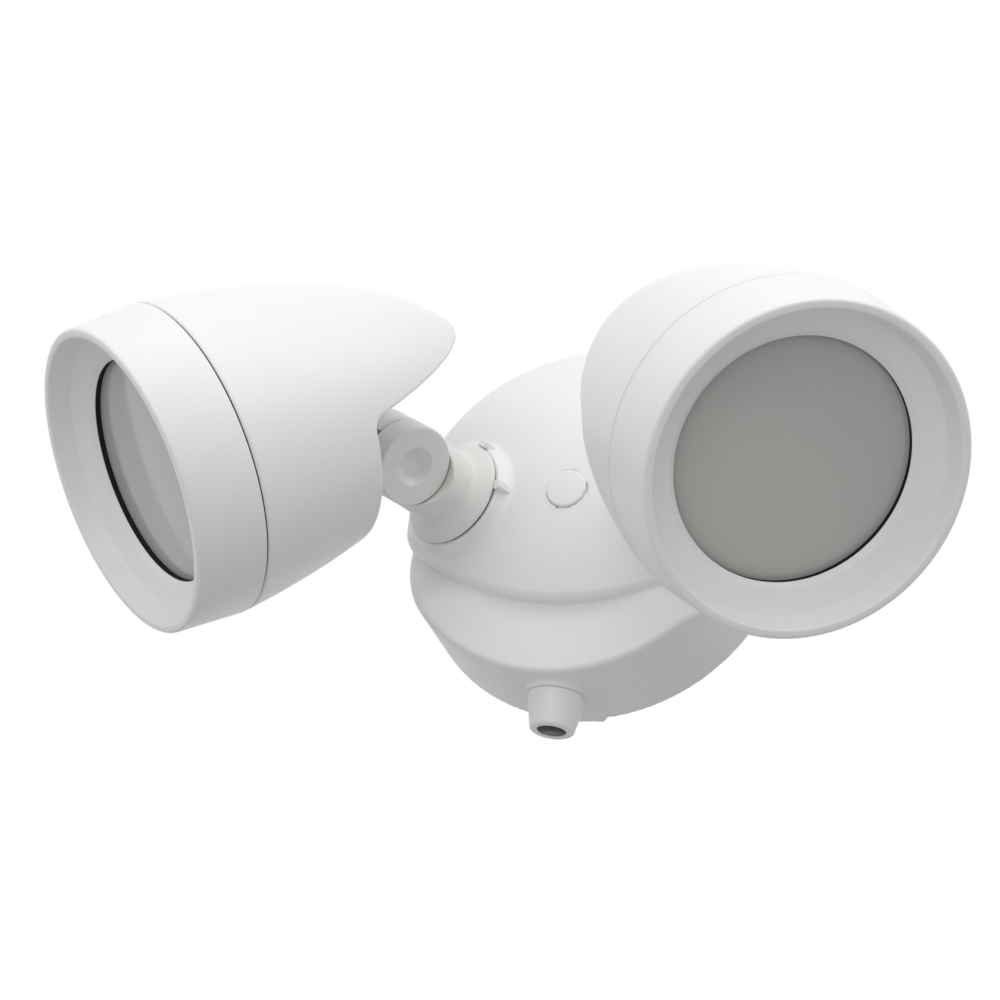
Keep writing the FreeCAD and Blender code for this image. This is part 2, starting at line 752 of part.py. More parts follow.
def ear(hand):
    """The head's half of the pivot: near lap, stem and foot, and the threaded spigot through the shell."""
    lap = across("disc_radius", lap_gap(), "disc_face", hand, "0")
    lap = rounded(lap, size("disc_round"), lambda edge: abs(edge.CenterOfMass.y) > size("disc_face") - 0.1)
    foot = "head_reach - notch_back - ear_seal_thick"
    stem = fuse(
        cylinder("ear_stem_radius", foot),
        cylinder("ear_foot_radius", "ear_foot_thick", z=f"{foot} - ear_foot_thick"),
        cylinder("ear_spigot_radius", "ear_seal_thick + shell_wall + ear_boss_thick + ear_nut_thick", z=foot),
    )
    body = cut(
        stem,
        across("disc_radius + disc_gap", "-2 * disc_radius", lap_gap(), hand, "0"),
        across("pivot_head_radius + 1", "-2 * disc_radius", "2 * disc_radius", hand, "0"),
    )
    near = "disc_face - dimple_depth"
    pocket = f"{near} - pivot_cap_thick - fit_gap - pivot_head_thick - fit_gap"
    tools = [
        dimple(hand),
        across("pivot_head_radius + fit_gap", pocket, "disc_face", hand, "0"),
        across("pivot_screw_radius + fit_gap", "0", "disc_face", hand, "0"),
        cylinder("wire_bore", "60", z="disc_radius + 2"),
    ]
    return cut(fuse(lap, body), *tools)


def dimple(hand):
    """The shallow tapered recess in the pivot's face."""
    made = doc.addObject("Part::Cone", "dimple")
    bind(made, "Radius1", "dimple_floor_radius")
    bind(made, "Radius2", "dimple_radius + (dimple_radius - dimple_floor_radius) / dimple_depth")
    bind(made, "Height", "dimple_depth + 1")
    turn(made, V(1, 0, 0), -90 if hand > 0 else 90)
    start = "disc_face - dimple_depth"
    return placed(made, y=start if hand > 0 else f"-({start})")


def arm_pieces(side, hand):
    """One arm, its fixings on the canopy and its half of the pivot."""
    frame = arm_frame(hand)
    node(f"{side}_arm", arm(hand), frame)
    ring = washer("stem_radius + fit_gap", "flange_radius - 0.6", "fit_gap", "arm_gasket_thick")
    node(f"{side}_arm_gasket", ring, frame)
    low = "-boss_depth - washer_thick"
    node(f"{side}_stop_washer", washer("stem_radius + fit_gap", "washer_radius", low, "washer_thick"), frame)
    bottom = "-boss_depth - washer_thick - fit_gap - locknut_thick"
    nut = cut(hexagon("locknut_flats", "locknut_thick", z=bottom), cylinder("stem_radius + fit_gap", "30", z="-28"))
    node(f"{side}_arm_locknut", nut, frame)
    node(f"{side}_friction_disc", friction_disc(hand), frame)
    node(f"{side}_pivot_screw", pivot_screw(hand), frame)
    node(f"{side}_pivot_nut", pivot_nut(hand), frame)


# Heads

BLOCK = ["2 * ogive_length"] * 3  # A block that takes in the whole tail


def notch_solid(inset):
    """The body of the shell's tail, or with an inset its cavity, which runs out through the front."""
    ogive = ellipsoid(f"ogive_length - {inset}", f"ogive_radius - {inset}", "ogive_centre")
    front = box(*BLOCK, "-ogive_length", "-ogive_length", f"-seam_back - seam_seal_thick + {inset}")
    tail = cut(ogive, front, notch(inset))
    return rounded(tail, size("notch_round"), notch_rim) if inset == "0" else tail


def notch_rim(edge):
    """The curved rim where the notch cuts the tail's outside."""
    return edge.BoundBox.ZMax < 0.1 - size("notch_back") and not isinstance(edge.Curve, Part.Line)


def notch(inset):
    """The space behind and under the tail, whose roof rises backwards, with a rounded inner corner."""
    behind = box(*BLOCK, "-ogive_length", "-ogive_length", f"-notch_back - 2 * ogive_length + {inset}")
    under = doc.addObject("Part::Box", "under")
    reach = 2 * size("ogive_length")
    under.Length, under.Width, under.Height = reach, reach, 2 * reach
    lean = FreeCAD.Rotation(V(0, 1, 0), -size("notch_slope_angle"))
    under.Placement = FreeCAD.Placement(lean.multVec(V(-reach, -reach / 2, -reach)), lean)
    holder = doc.addObject("Part::Compound", "under_place")
    holder.Links = [under]
    placed(holder, f"notch_floor + {inset}", "0", "-notch_back")
    corner = size("notch_corner") + (size(inset) if inset in SIZES else 0)
    return rounded(common(behind, holder), corner, notch_corner_edge)


def notch_corner_edge(edge):
    """The inner corner between the tail's rear face and its roof."""
    bounds = edge.BoundBox
    return bounds.YLength > 1.9 * size("ogive_length") and bounds.ZMax < 0 and bounds.XMax > 0 and bounds.ZMin > -size("notch_back") - 1


def rear_shell(hand):
    """The hollow tail of the head with its spigot, ledge and pivot boss."""
    outer = notch_solid("0")
    inner = notch_solid("shell_wall")
    ledge = cut(
        cylinder("ogive_radius", "sink_ledge_thick", z=f"-{sink_back()} - sink_ledge_thick"),
        cylinder("sink_ledge_radius", "sink_ledge_thick + 2", z=f"-{sink_back()} - sink_ledge_thick - 1"),
    )
    depth = "ear_boss_thick + shell_wall"
    boss = cylinder("ear_foot_radius", depth, x="-head_offset", z="-notch_back")
    inside = common(fuse(ledge, boss), notch_solid("shell_wall / 2"))
    front = "-bezel_web - seat_gap"
    back = "-seam_back - seam_seal_thick"
    spigot = [
        ("lens_radius + seat_gap", front), ("lens_radius + spigot_wall", front), ("lens_radius + spigot_wall", back),
        ("ogive_radius - 3.5", back), ("ogive_radius - 5", f"{back} - shell_wall - 2"), ("lens_radius + seat_gap", f"{back} - shell_wall - 2"),
    ]
    whole = fuse(cut(outer, inner), inside, turned(spigot))
    hole = cylinder("ear_spigot_radius + fit_gap", "60", x="-head_offset", z="-notch_back - 30")
    return cut(whole, hole, *sink_holes())


def sink_back():
    """How far the heat sink's back face lies behind the lens opening."""
    return f"({board_back()} + sink_thick)"


def board_back():
    """How far the board's back face lies behind the lens opening."""
    return f"({lens_back()} + reflector_depth + board_thick)"


def lens_back():
    """How far the lens's back face lies behind the lens opening."""
    return "(bezel_web + lens_gasket_thick + lens_thick)"


def screw_angles():
    """The headings of the heat sink's screws."""
    return [90 + 360 * k / SINK_SCREWS for k in range(SINK_SCREWS)]


def sink_holes():
    """The pilot holes for the heat sink's screws."""
    holes = []
    for heading in screw_angles():
        x = f"sink_screw_circle * cos({heading})"
        y = f"sink_screw_circle * sin({heading})"
        holes.append(cylinder("sink_screw_radius", "sink_ledge_thick + 0.5", x, y, f"-{sink_back()} - sink_ledge_thick"))
    return holes


def heat_sink():
    """The finned plate that carries the board."""
    back = f"-{sink_back()}"
    plate = cylinder("sink_radius", "sink_thick", z=back)
    rounded_fins = []
    for k in range(FIN_COUNT):
        place = f"{k - (FIN_COUNT - 1) / 2} * fin_pitch - fin_thick / 2"
        fin = box("fin_thick", "2 * fin_reach", "fin_height + 1", place, "-fin_reach", f"{back} - fin_height")
        rounded_fins.append(fin)
    limit = cylinder("fin_reach + 2", "fin_height + 2", z=f"{back} - fin_height")
    fins = common(fuse_plain(*rounded_fins), limit)
    holes = []
    for heading in screw_angles():
        x = f"sink_screw_circle * cos({heading})"
        y = f"sink_screw_circle * sin({heading})"
        holes.append(cylinder("sink_screw_radius + fit_gap", "sink_thick + 2", x, y, f"{back} - 1"))
    return cut(fuse(plate, fins), *holes)


def sink_screws():
    """The screws that hold the heat sink on the shell's ledge."""
    group = doc.addObject("Part::Compound", "sink_screws")
    screws = []
    for heading in screw_angles():
        x = f"sink_screw_circle * cos({heading})"
        y = f"sink_screw_circle * sin({heading})"
        shank = cylinder("sink_screw_radius", "sink_thick + sink_ledge_thick", x, y, f"-{sink_back()} - sink_ledge_thick + 0.2")
        head = cylinder("sink_screw_head", "sink_screw_head_thick", x, y, f"-{board_back()}")
        screws.append(fuse(shank, head))
    group.Links = screws
    return group


def bezel():
    """The screwed front ring with its sunken face around the lens opening."""
    inner = "bezel_front_radius - rim_width"
    lip = "opening_radius + opening_lip"
    skirt = "lens_radius + spigot_wall + fit_gap"
    corners = [
        ("bezel_back_radius", "-seam_back"), ("bezel_front_radius", "rim_front"), (inner, "rim_front"),
        ("recess_floor_radius", "recess_floor_front"), (lip, "0"), (lip, "opening_lip_height"),
        ("opening_radius", "opening_lip_height"), ("opening_radius", "-bezel_web"), (skirt, "-bezel_web"), (skirt, "-seam_back"),
    ]
    return turned(corners, {1: "rim_round", 2: "rim_round", 5: "opening_lip / 3", 6: "opening_lip / 3"})


def reflector():
    """The bright cone between board and lens."""
    front = f"-{lens_back()}"
    back = f"{front} - reflector_depth"
    edge = "lens_radius"
    corners = [
        ("reflector_mouth", front), (edge, front), (edge, f"{front} - reflector_flange"),
        ("reflector_mouth + reflector_wall", f"{front} - reflector_flange"),
        ("reflector_throat + reflector_wall", back), ("reflector_throat", back),
    ]
    return turned(corners)


def led_board():
    """The round board with its raised emitter."""
    back = f"-{board_back()}"
    face = f"{back} + board_thick"
    corners = [
        ("0", back), ("board_radius", back), ("board_radius", face), ("emitter_radius", face),
        ("emitter_radius", f"{face} + emitter_height"), ("0", f"{face} + emitter_height"),
    ]
    return turned(corners)


def head_pieces(side, hand):
    """One head, from its pivot ear to its bezel."""
    frame = head_frame(hand)
    at_pivot = frame.multiply(FreeCAD.Placement(V(-size("head_offset"), 0, -size("head_reach")), FreeCAD.Rotation()))
    node(f"{side}_pivot_ear", ear(hand), at_pivot)
    cap_low = "disc_face - dimple_depth - pivot_cap_thick"
    node(f"{side}_pivot_cap", across("pivot_head_radius", cap_low, "disc_face - dimple_depth", hand, "0"), at_pivot)
    seat = "head_reach - notch_back - ear_seal_thick"
    seal = washer("ear_spigot_radius + fit_gap", "ear_foot_radius", seat, "ear_seal_thick")
    node(f"{side}_ear_seal", seal, at_pivot)
    low = "head_reach - notch_back + shell_wall + ear_boss_thick"
    bore = cylinder("ear_spigot_radius + fit_gap", "200")
    node(f"{side}_ear_locknut", cut(hexagon("ear_nut_flats", "ear_nut_thick", z=low), bore), at_pivot)
    node(f"{side}_rear_shell", rear_shell(hand), frame)
    low = "-seam_back - seam_seal_thick"
    outer = "bezel_back_radius - seam_seal_inset"
    node(f"{side}_seam_seal", washer("lens_radius + spigot_wall + fit_gap", outer, low, "seam_seal_thick"), frame)
    node(f"{side}_bezel", bezel(), frame)
    gasket_low = "-bezel_web - lens_gasket_thick"
    node(f"{side}_lens_gasket", washer("opening_radius - gasket_reveal", "lens_radius", gasket_low, "lens_gasket_thick"), frame)
    node(f"{side}_lens", cylinder_node("lens_radius", "lens_thick", f"-{lens_back()}"), frame)
    node(f"{side}_reflector", reflector(), frame)
    node(f"{side}_led_board", led_board(), frame)
    node(f"{side}_heat_sink", heat_sink(), frame)
    node(f"{side}_heat_sink_screws", sink_screws(), frame)


canopy_pieces()
for side, hand in (("right", 1), ("left", -1)):
    arm_pieces(side, hand)
    head_pieces(side, hand)
doc.recompute()

# Nothing is written unless every object and every sub-part is sound

for thing in doc.Objects:
    if "Invalid" in thing.State or "Error" in thing.State:
        raise RuntimeError(f"{thing.Name} ({thing.Label}) failed: {thing.State}")
os.makedirs("parts", exist_ok=True)
for thing in nodes:
    if thing.Shape.isNull() or not thing.Shape.isValid():
        raise RuntimeError(f"{thing.Label} is not a sound solid")
for thing in nodes:
    thing.Shape.exportStep(f"parts/{thing.Label}.step")
    print(thing.Label, "solids", len(thing.Shape.Solids), "volume", round(thing.Shape.Volume, 1))
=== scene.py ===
"""Looks of a wall-mounted security light: round canopy, dusk sensor, and a head on each jointed arm.

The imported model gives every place. Sizes in the classes are millimetres, and each visible casting is
meshed from a field: a function that says how far a point lies outside the form.
"""

from __future__ import annotations

import json
import logging
import math
from dataclasses import dataclass, field
from enum import Enum
from typing import Callable, Optional, Sequence

import bpy
import numpy as np
from mathutils import Matrix, Vector

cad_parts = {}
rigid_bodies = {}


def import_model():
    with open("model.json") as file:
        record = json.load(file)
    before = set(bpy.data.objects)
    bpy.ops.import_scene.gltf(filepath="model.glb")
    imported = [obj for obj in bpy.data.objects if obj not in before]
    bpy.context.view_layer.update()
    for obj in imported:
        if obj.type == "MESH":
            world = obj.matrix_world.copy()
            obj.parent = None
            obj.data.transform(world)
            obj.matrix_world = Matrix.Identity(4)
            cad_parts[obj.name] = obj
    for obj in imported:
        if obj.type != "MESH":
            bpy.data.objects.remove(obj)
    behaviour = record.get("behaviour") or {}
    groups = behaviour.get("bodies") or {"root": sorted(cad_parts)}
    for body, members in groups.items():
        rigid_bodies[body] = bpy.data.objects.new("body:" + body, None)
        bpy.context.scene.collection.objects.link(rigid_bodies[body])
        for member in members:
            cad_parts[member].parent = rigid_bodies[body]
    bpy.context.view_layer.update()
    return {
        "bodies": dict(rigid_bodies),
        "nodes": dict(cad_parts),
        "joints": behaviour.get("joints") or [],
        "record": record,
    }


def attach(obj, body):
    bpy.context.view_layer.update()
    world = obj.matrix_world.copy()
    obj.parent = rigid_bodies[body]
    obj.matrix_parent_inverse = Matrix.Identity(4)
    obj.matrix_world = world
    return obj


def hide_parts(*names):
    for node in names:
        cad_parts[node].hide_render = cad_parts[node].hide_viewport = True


LOG = logging.getLogger("security_light")
MM = 0.001

# How strongly a meshed corner holds to the middle of its cell's crossings
HOLD = 0.08
# Runs whose directions differ by under 30 degrees share their outward direction
SMOOTH = 0.86

Field = Callable[[np.ndarray], np.ndarray]
Profile = list[tuple[float, float]]
Colour = tuple[float, float, float]
Socket = bpy.types.NodeSocket


class Slot(str, Enum):
    """The record's material slots."""

    WHITE_CAST = "white_cast"
    KNUCKLE_CAST = "knuckle_cast"
    WHITE_PLASTIC = "white_plastic"
    LENS_GLASS = "lens_glass"
    WINDOW_DARK = "window_dark"
    SEAL_RUBBER = "seal_rubber"
    ZINC_STEEL = "zinc_steel"
    BARE_ALUMINIUM = "bare_aluminium"
    REFLECTOR_BRIGHT = "reflector_bright"
    BOARD_WHITE = "board_white"
    DRIVER_CASE = "driver_case"
    GROUND_GREEN = "ground_green"
    FIBRE = "fibre"


class Hand(Enum):
    """Which arm and head: the sign is that of X."""

    LEFT = -1
    RIGHT = 1

    @property
    def side(self) -> str:
        """The word that starts this side's node and body names."""
        return self.name.lower()


# Forms as fields of distance, in millimetres


def meet(first: np.ndarray, second: np.ndarray, radius: float, lean: float = 0.0) -> np.ndarray:
    """The part two forms share, with a rounded outer edge.

    Args:
        first: Distances to one form.
        second: Distances to the other.
        radius: Radius of the edge where they cross.
        lean: Cosine of the angle between their outward directions there.

    Returns:
        Distances to what lies in both.
    """
    over_first, over_second = first + radius, second + radius
    rounded_edge = (over_first > lean * over_second) & (over_second > lean * over_first)
    square = over_first**2 + over_second**2 - 2 * lean * over_first * over_second
    arc = np.sqrt(np.maximum(square, 0.0) / (1 - lean**2)) - radius
    return np.where(rounded_edge, arc, np.maximum(first, second))


def join(first: np.ndarray, second: np.ndarray, radius: float, lean: float = 0.0) -> np.ndarray:
    """Two forms as one, with a fillet in the corner between them.

    Args:
        first: Distances to one form.
        second: Distances to the other.
        radius: Radius of the fillet.
        lean: Cosine of the angle between their outward directions there.

    Returns:
        Distances to the joined form.
    """
    return -meet(-first, -second, radius, lean)


def carve(form: np.ndarray, space: np.ndarray, radius: float, lean: float = 0.0) -> np.ndarray:
    """A form less a space, with a rounded edge round the opening.

    Args:
        form: Distances to the form.
        space: Distances to the space that is taken out.
        radius: Radius of the edge.
        lean: Cosine of the angle between the form's outward direction and the space's inward one.

    Returns:
        Distances to what is left.
    """
    return meet(form, -space, radius, lean)


def band(value: np.ndarray, low: float, high: float) -> np.ndarray:
    """Distance outside the range from low to high along one direction."""
    return np.abs(value - (low + high) / 2) - (high - low) / 2


def slope_of(form: Field, points: np.ndarray, step: float = 0.02) -> np.ndarray:
    """The outward directions of a field at some points.

    Args:
        form: The field.
        points: One point a row.
        step: Half the distance between the two samples on each axis.

    Returns:
        Unit vectors, one a row.
    """
    slope = np.empty_like(points)
    for axis in range(3):
        shift = np.zeros(3)
        shift[axis] = step
        slope[:, axis] = form(points + shift) - form(points - shift)
    length = np.linalg.norm(slope, axis=1, keepdims=True)
    return slope / np.maximum(length, 1e-9)


@dataclass
class Skin:
    """A mesh before it is an object: corners, faces and the outward direction at each corner."""

    corners: np.ndarray
    faces: np.ndarray
    outward: np.ndarray


def cast(form: Field, low: Sequence[float], high: Sequence[float], pitch: float) -> Skin:
    """Meshes the surface of a field with one corner in each cell that the surface crosses.

    Each corner settles where the surface planes around its cell meet, so that edges stay crisp.

    Args:
        form: The field, negative inside the form.
        low: Lowest corner of the block that holds the form.
        high: Highest corner of that block.
        pitch: Size of a cell.

    Returns:
        The skin of the form.
    """
    start = np.asarray(low, float)
    counts = np.ceil((np.asarray(high, float) - start) / pitch).astype(int) + 1
    steps = [start[axis] + pitch * np.arange(counts[axis]) for axis in range(3)]
    grid = np.stack(np.meshgrid(*steps, indexing="ij"), axis=-1)
    values = form(grid.reshape(-1, 3)).reshape(counts)
    cells = tuple(counts - 1)
    owners, crossings, faces = [], [], []
    for axis in range(3):
        near = [slice(1, -1)] * 3
        near[axis] = slice(0, -1)
        far = list(near)
        far[axis] = slice(1, None)
        before, after = values[tuple(near)], values[tuple(far)]
        found = np.argwhere((before < 0) != (after < 0))
        share = before[tuple(found.T)] / (before[tuple(found.T)] - after[tuple(found.T)])
        leaves = before[tuple(found.T)] < 0
        place = found + 1
        place[:, axis] -= 1
        point = start + pitch * place
        point[:, axis] += pitch * share
        ring = []
        for back_first, back_second in ((0, 0), (1, 0), (1, 1), (0, 1)):
            cell = place.copy()
            cell[:, (axis + 1) % 3] -= back_first
            cell[:, (axis + 2) % 3] -= back_second
            ring.append(np.ravel_multi_index(tuple(cell.T), cells))
        ring = np.stack(ring, axis=1)
        owners.append(ring)
        crossings.append(point)
        faces.append(np.where(leaves[:, None], ring, ring[:, ::-1]))
    return settle(form, np.concatenate(owners), np.concatenate(crossings), np.concatenate(faces), pitch)


def settle(form: Field, owners: np.ndarray, crossings: np.ndarray, faces: np.ndarray, pitch: float) -> Skin:
    """Places one corner a cell from the surface planes that cross the cell's edges.

    Args:
        form: The field.
        owners: The four cells round each crossed grid edge.
        crossings: Where the surface crosses each of those edges.
        faces: The same cells in the order of an outward face.
        pitch: Size of a cell.

    Returns:
        The skin, with corners that no face uses left out.
    """
    names, index = np.unique(owners.ravel(), return_inverse=True)
    index = index.reshape(owners.shape)
    point = np.repeat(crossings, 4, axis=0)
    plane = np.repeat(slope_of(form, crossings), 4, axis=0)
    owner = index.ravel()
    total = len(names)

    def gather(weights: np.ndarray) -> np.ndarray:
        """Sums a number of every crossing over the cells."""
        return np.bincount(owner, weights, total)

    share = gather(np.ones(len(owner)))
    middle = np.stack([gather(point[:, axis]) for axis in range(3)], axis=1) / share[:, None]
    reach = ((point - middle[owner]) * plane).sum(axis=1)
    square = np.empty((total, 3, 3))
    pull = np.empty((total, 3))
    for row in range(3):
        pull[:, row] = gather(plane[:, row] * reach)
        for column in range(3):
            square[:, row, column] = gather(plane[:, row] * plane[:, column])
    square += HOLD * np.eye(3)
    move = np.linalg.solve(square, pull[:, :, None])[:, :, 0]
    length = np.linalg.norm(move, axis=1, keepdims=True)
    corners = middle + move * np.minimum(1.0, pitch / np.maximum(length, 1e-9))
    outward = slope_of(form, corners)
    corners = corners - outward * form(corners)[:, None]
    ordered = np.searchsorted(names, faces.ravel()).reshape(faces.shape)
    return Skin(corners, ordered, outward)


def rounded(corners: Profile, radii: dict[int, float], steps: int = 7) -> Profile:
    """An outline with some of its corners turned into arcs.

    Args:
        corners: Corners of the outline as (radius, height).
        radii: Radius of the arc at a corner, by the corner's place in the list.
        steps: Straight runs in each arc.

    Returns:
        The outline with arcs.
    """
    made: Profile = []
    for place, corner in enumerate(corners):
        radius = radii.get(place, 0.0)
        if radius <= 0 or place in (0, len(corners) - 1):
            made.append(corner)
            continue
        here = Vector(corner)
        back = (Vector(corners[place - 1]) - here).normalized()
        ahead = (Vector(corners[place + 1]) - here).normalized()
        half = back.angle(ahead) / 2
        centre = here + (back + ahead).normalized() * (radius / math.sin(half))
        first = here + back * (radius / math.tan(half)) - centre
        last = here + ahead * (radius / math.tan(half)) - centre
        turn = first.angle_signed(last)
        for step in range(steps + 1):
            made.append(tuple(centre + Matrix.Rotation(-turn * step / steps, 2) @ first))
    return made


def hoop(inner: float, outer: float, low: float, high: float) -> Profile:
    """The outline of a flat ring, closed halfway up its inner wall."""
    middle = (inner, (low + high) / 2)
    return [middle, (inner, low), (outer, low), (outer, high), (inner, high), middle]


def lathe(outline: Profile, segments: int = 160) -> Skin:
    """Turns an outline about the Z axis.

    Args:
        outline: Points as (radius, height), with the form on the left of the direction of travel.
        segments: Faces round the form.

    Returns:
        The turned skin, with outward directions taken from the outline's own runs.
    """
    path = np.array(outline, float)
    runs = np.diff(path, axis=0)
    lengths = np.linalg.norm(runs, axis=1, keepdims=True)
    across = np.stack([runs[:, 1], -runs[:, 0]], axis=1) / np.maximum(lengths, 1e-9)
    turn = np.linspace(0, math.tau, segments, endpoint=False)
    ring = np.stack([np.cos(turn), np.sin(turn)], axis=1)
    corners, outward, faces = [], [], []
    for row, (start, end) in enumerate(zip(path[:-1], path[1:])):
        base = 2 * segments * row
        for which, place in enumerate((start, end)):
            tilt = soft_tilt(across, lengths, row, which)
            corners.append(np.c_[ring * place[0], np.full(segments, place[1])])
            outward.append(np.c_[ring * tilt[0], np.full(segments, tilt[1])])
        here = np.arange(segments)
        following = (here + 1) % segments
        top = base + segments
        faces.append(np.stack([base + here, base + following, top + following, top + here], axis=1))
    return Skin(np.concatenate(corners), np.concatenate(faces), np.concatenate(outward))


def soft_tilt(across: np.ndarray, lengths: np.ndarray, row: int, which: int) -> np.ndarray:
    """The outward direction at one end of a run: shared with a neighbour that turns by under 30 degrees.

    Args:
        across: Outward direction of every run.
        lengths: Length of every run.
        row: The run.
        which: 0 for its start, 1 for its end.

    Returns:
        The direction as (radius, height).
    """
    other = row + (1 if which else -1)
    here = across[row]
    if not 0 <= other < len(across) or float(here @ across[other]) < SMOOTH:
        return here
    weight = 1.0 / max(float(lengths[row][0]), 1e-6), 1.0 / max(float(lengths[other][0]), 1e-6)
    mixed = here * weight[0] + across[other] * weight[1]
    return mixed / np.linalg.norm(mixed)


@dataclass(frozen=True)
class Place:
    """A local frame: millimetres along three world directions from an origin in metres."""

    origin: Vector
    across: Vector
    beside: Vector
    along: Vector

    @property
    def mirrored(self) -> bool:
        """Whether the frame is left-handed."""
        return self.across.cross(self.beside).dot(self.along) < 0

    def directions(self) -> np.ndarray:
        """The frame's three directions, one a row."""
        return np.array([self.across, self.beside, self.along])

    def moved(self, across: float, along: float) -> "Place":
        """The same frame at another point, given in its own millimetres."""
        shift = self.across * across + self.along * along
        return Place(self.origin + shift * MM, self.across, self.beside, self.along)


WALL = Place(Vector((0, 0, 0)), Vector((1, 0, 0)), Vector((0, 0, 1)), Vector((0, -1, 0)))


class Piece:
    """Gathers skins into one mesh object that rides on a body."""

    def __init__(self, name: str, slot: Slot) -> None:
        """Starts an empty piece.

        Args:
            name: Name of the object.
            slot: Material slot of the record that it takes its finish from.
        """
        self.name = name
        self.slot = slot
        self.skins: list[Skin] = []
        self.finish_of: list[int] = []
        self.finishes: list[bpy.types.Material] = []

    def add(self, skin: Skin, place: Place, finish: bpy.types.Material) -> "Piece":
        """Adds a skin.

        Args:
            skin: The skin, in millimetres.
            place: The frame that it stands in.
            finish: Its material.

        Returns:
            The piece itself.
        """
        basis = place.directions()
        corners = np.array(place.origin) + (skin.corners * MM) @ basis
        faces = skin.faces[:, ::-1] if place.mirrored else skin.faces
        self.skins.append(Skin(corners, faces, skin.outward @ basis))
        if finish not in self.finishes:
            self.finishes.append(finish)
        self.finish_of.append(self.finishes.index(finish))
        return self

    def build(self, body: str, *nodes: str) -> None:
        """Makes the object.

        Args:
            body: The body that it rides on.
            nodes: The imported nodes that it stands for.
        """
        mesh = bpy.data.meshes.new(self.name)
        offsets = np.cumsum([0] + [len(skin.corners) for skin in self.skins])
        corners = np.concatenate([skin.corners for skin in self.skins])
        faces = np.concatenate([skin.faces + offsets[place] for place, skin in enumerate(self.skins)])
        finishes = np.repeat(self.finish_of, [len(skin.faces) for skin in self.skins])
        mesh.from_pydata(corners.tolist(), [], faces.tolist())
        for finish in self.finishes:
            mesh.materials.append(finish)
        mesh.polygons.foreach_set("material_index", finishes.astype(np.int32))
        mesh.shade_smooth()
        outward = np.concatenate([skin.outward for skin in self.skins])
        mesh.normals_split_custom_set_from_vertices(outward.tolist())
        made = bpy.data.objects.new(self.name, mesh)
        bpy.context.scene.collection.objects.link(made)
        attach(made, body)
        if nodes:
            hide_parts(*nodes)
        LOG.info("%s: %d faces", self.name, len(mesh.polygons))


# Finishes


class NodeTree:
    """Short hand for building a material's nodes."""

    def __init__(self, name: str) -> None:
        """Makes a material with a plain Principled shader.

        Args:
            name: Name of the material.
        """
        self.material = bpy.data.materials.new(name)
        self.material.use_nodes = True
        self.nodes = self.material.node_tree.nodes
        self.links = self.material.node_tree.links
        self.shader = self.nodes["Principled BSDF"]
        self.place = self.nodes.new("ShaderNodeTexCoord").outputs["Object"]

    def noise(self, scale: float, detail: float = 3.0, rough: float = 0.5) -> Socket:
        """A cloud pattern in the object's metres.

        Args:
            scale: Patches to a metre.
            detail: Octaves.
            rough: Strength of the finer octaves.

        Returns:
            The pattern's output, from 0 to 1.
        """
        made = self.nodes.new("ShaderNodeTexNoise")
        made.inputs["Scale"].default_value = scale
        made.inputs["Detail"].default_value = detail
        made.inputs["Roughness"].default_value = rough
        self.links.new(self.place, made.inputs["Vector"])
        return made.outputs["Fac"]

    def spread(self, source: Socket, low: float, high: float) -> Socket:
        """Maps a pattern's middle half onto a range.

        Args:
            source: The pattern.
            low: Value at 0.25 and under.
            high: Value at 0.75 and over.

        Returns:
            The mapped output.
        """
        made = self.nodes.new("ShaderNodeMapRange")
        made.inputs["From Min"].default_value = 0.25
        made.inputs["From Max"].default_value = 0.75
        made.inputs["To Min"].default_value = low
        made.inputs["To Max"].default_value = high
        self.links.new(source, made.inputs["Value"])
        return made.outputs["Result"]

    def tint(self, source: Socket, first: Colour, second: Colour) -> None:
        """Colours the shader by a pattern.

        Args:
            source: The pattern.
            first: Colour where it is low.
            second: Colour where it is high.
        """
        made = self.nodes.new("ShaderNodeMix")
        made.data_type = "RGBA"
        made.inputs["A"].default_value = (*first, 1.0)
        made.inputs["B"].default_value = (*second, 1.0)
        self.links.new(self.spread(source, 0.0, 1.0), made.inputs["Factor"])
        self.links.new(made.outputs["Result"], self.shader.inputs["Base Color"])

    def dull(self, source: Socket, low: float, high: float) -> None:
        """Sets the shader's roughness by a pattern.

        Args:
            source: The pattern.
            low: Roughness where it is low.
            high: Roughness where it is high.
        """
        self.links.new(self.spread(source, low, high), self.shader.inputs["Roughness"])

    def dent(self, *layers: tuple[Socket, float]) -> None:
        """Adds bumps.

        Args:
            layers: Patterns, each with its depth in metres.
        """
        above = self.shader
        for pattern, depth in reversed(layers):
            made = self.nodes.new("ShaderNodeBump")
            made.inputs["Distance"].default_value = depth
            made.inputs["Strength"].default_value = 1.0
            self.links.new(pattern, made.inputs["Height"])
            self.links.new(made.outputs["Normal"], above.inputs["Normal"])
            above = made

    def set(self, **values: float | tuple[float, ...]) -> None:
        """Sets the shader's own sockets, named with underscores for spaces."""
        for name, value in values.items():
            self.shader.inputs[name.replace("_", " ")].default_value = value


@dataclass(frozen=True)
class PowderCoat:
    """Satin powder coat on a die casting: even colour, fine orange peel, a little variation of sheen."""

    name: str
    colour: Colour
    shade: Colour
    roughness: tuple[float, float] = (0.36, 0.46)
    peel: float = 0.000006
    speck: float = 0.000002

    def make(self) -> bpy.types.Material:
        """Builds the material."""
        tree = NodeTree(self.name)
        tree.tint(tree.noise(38.0, 2.0), self.colour, self.shade)
        tree.dull(tree.noise(130.0, 4.0), *self.roughness)
        tree.set(Specular_IOR_Level=0.42)
        tree.dent((tree.noise(900.0, 2.0), self.peel), (tree.noise(4200.0, 2.0), self.speck))
        return tree.material


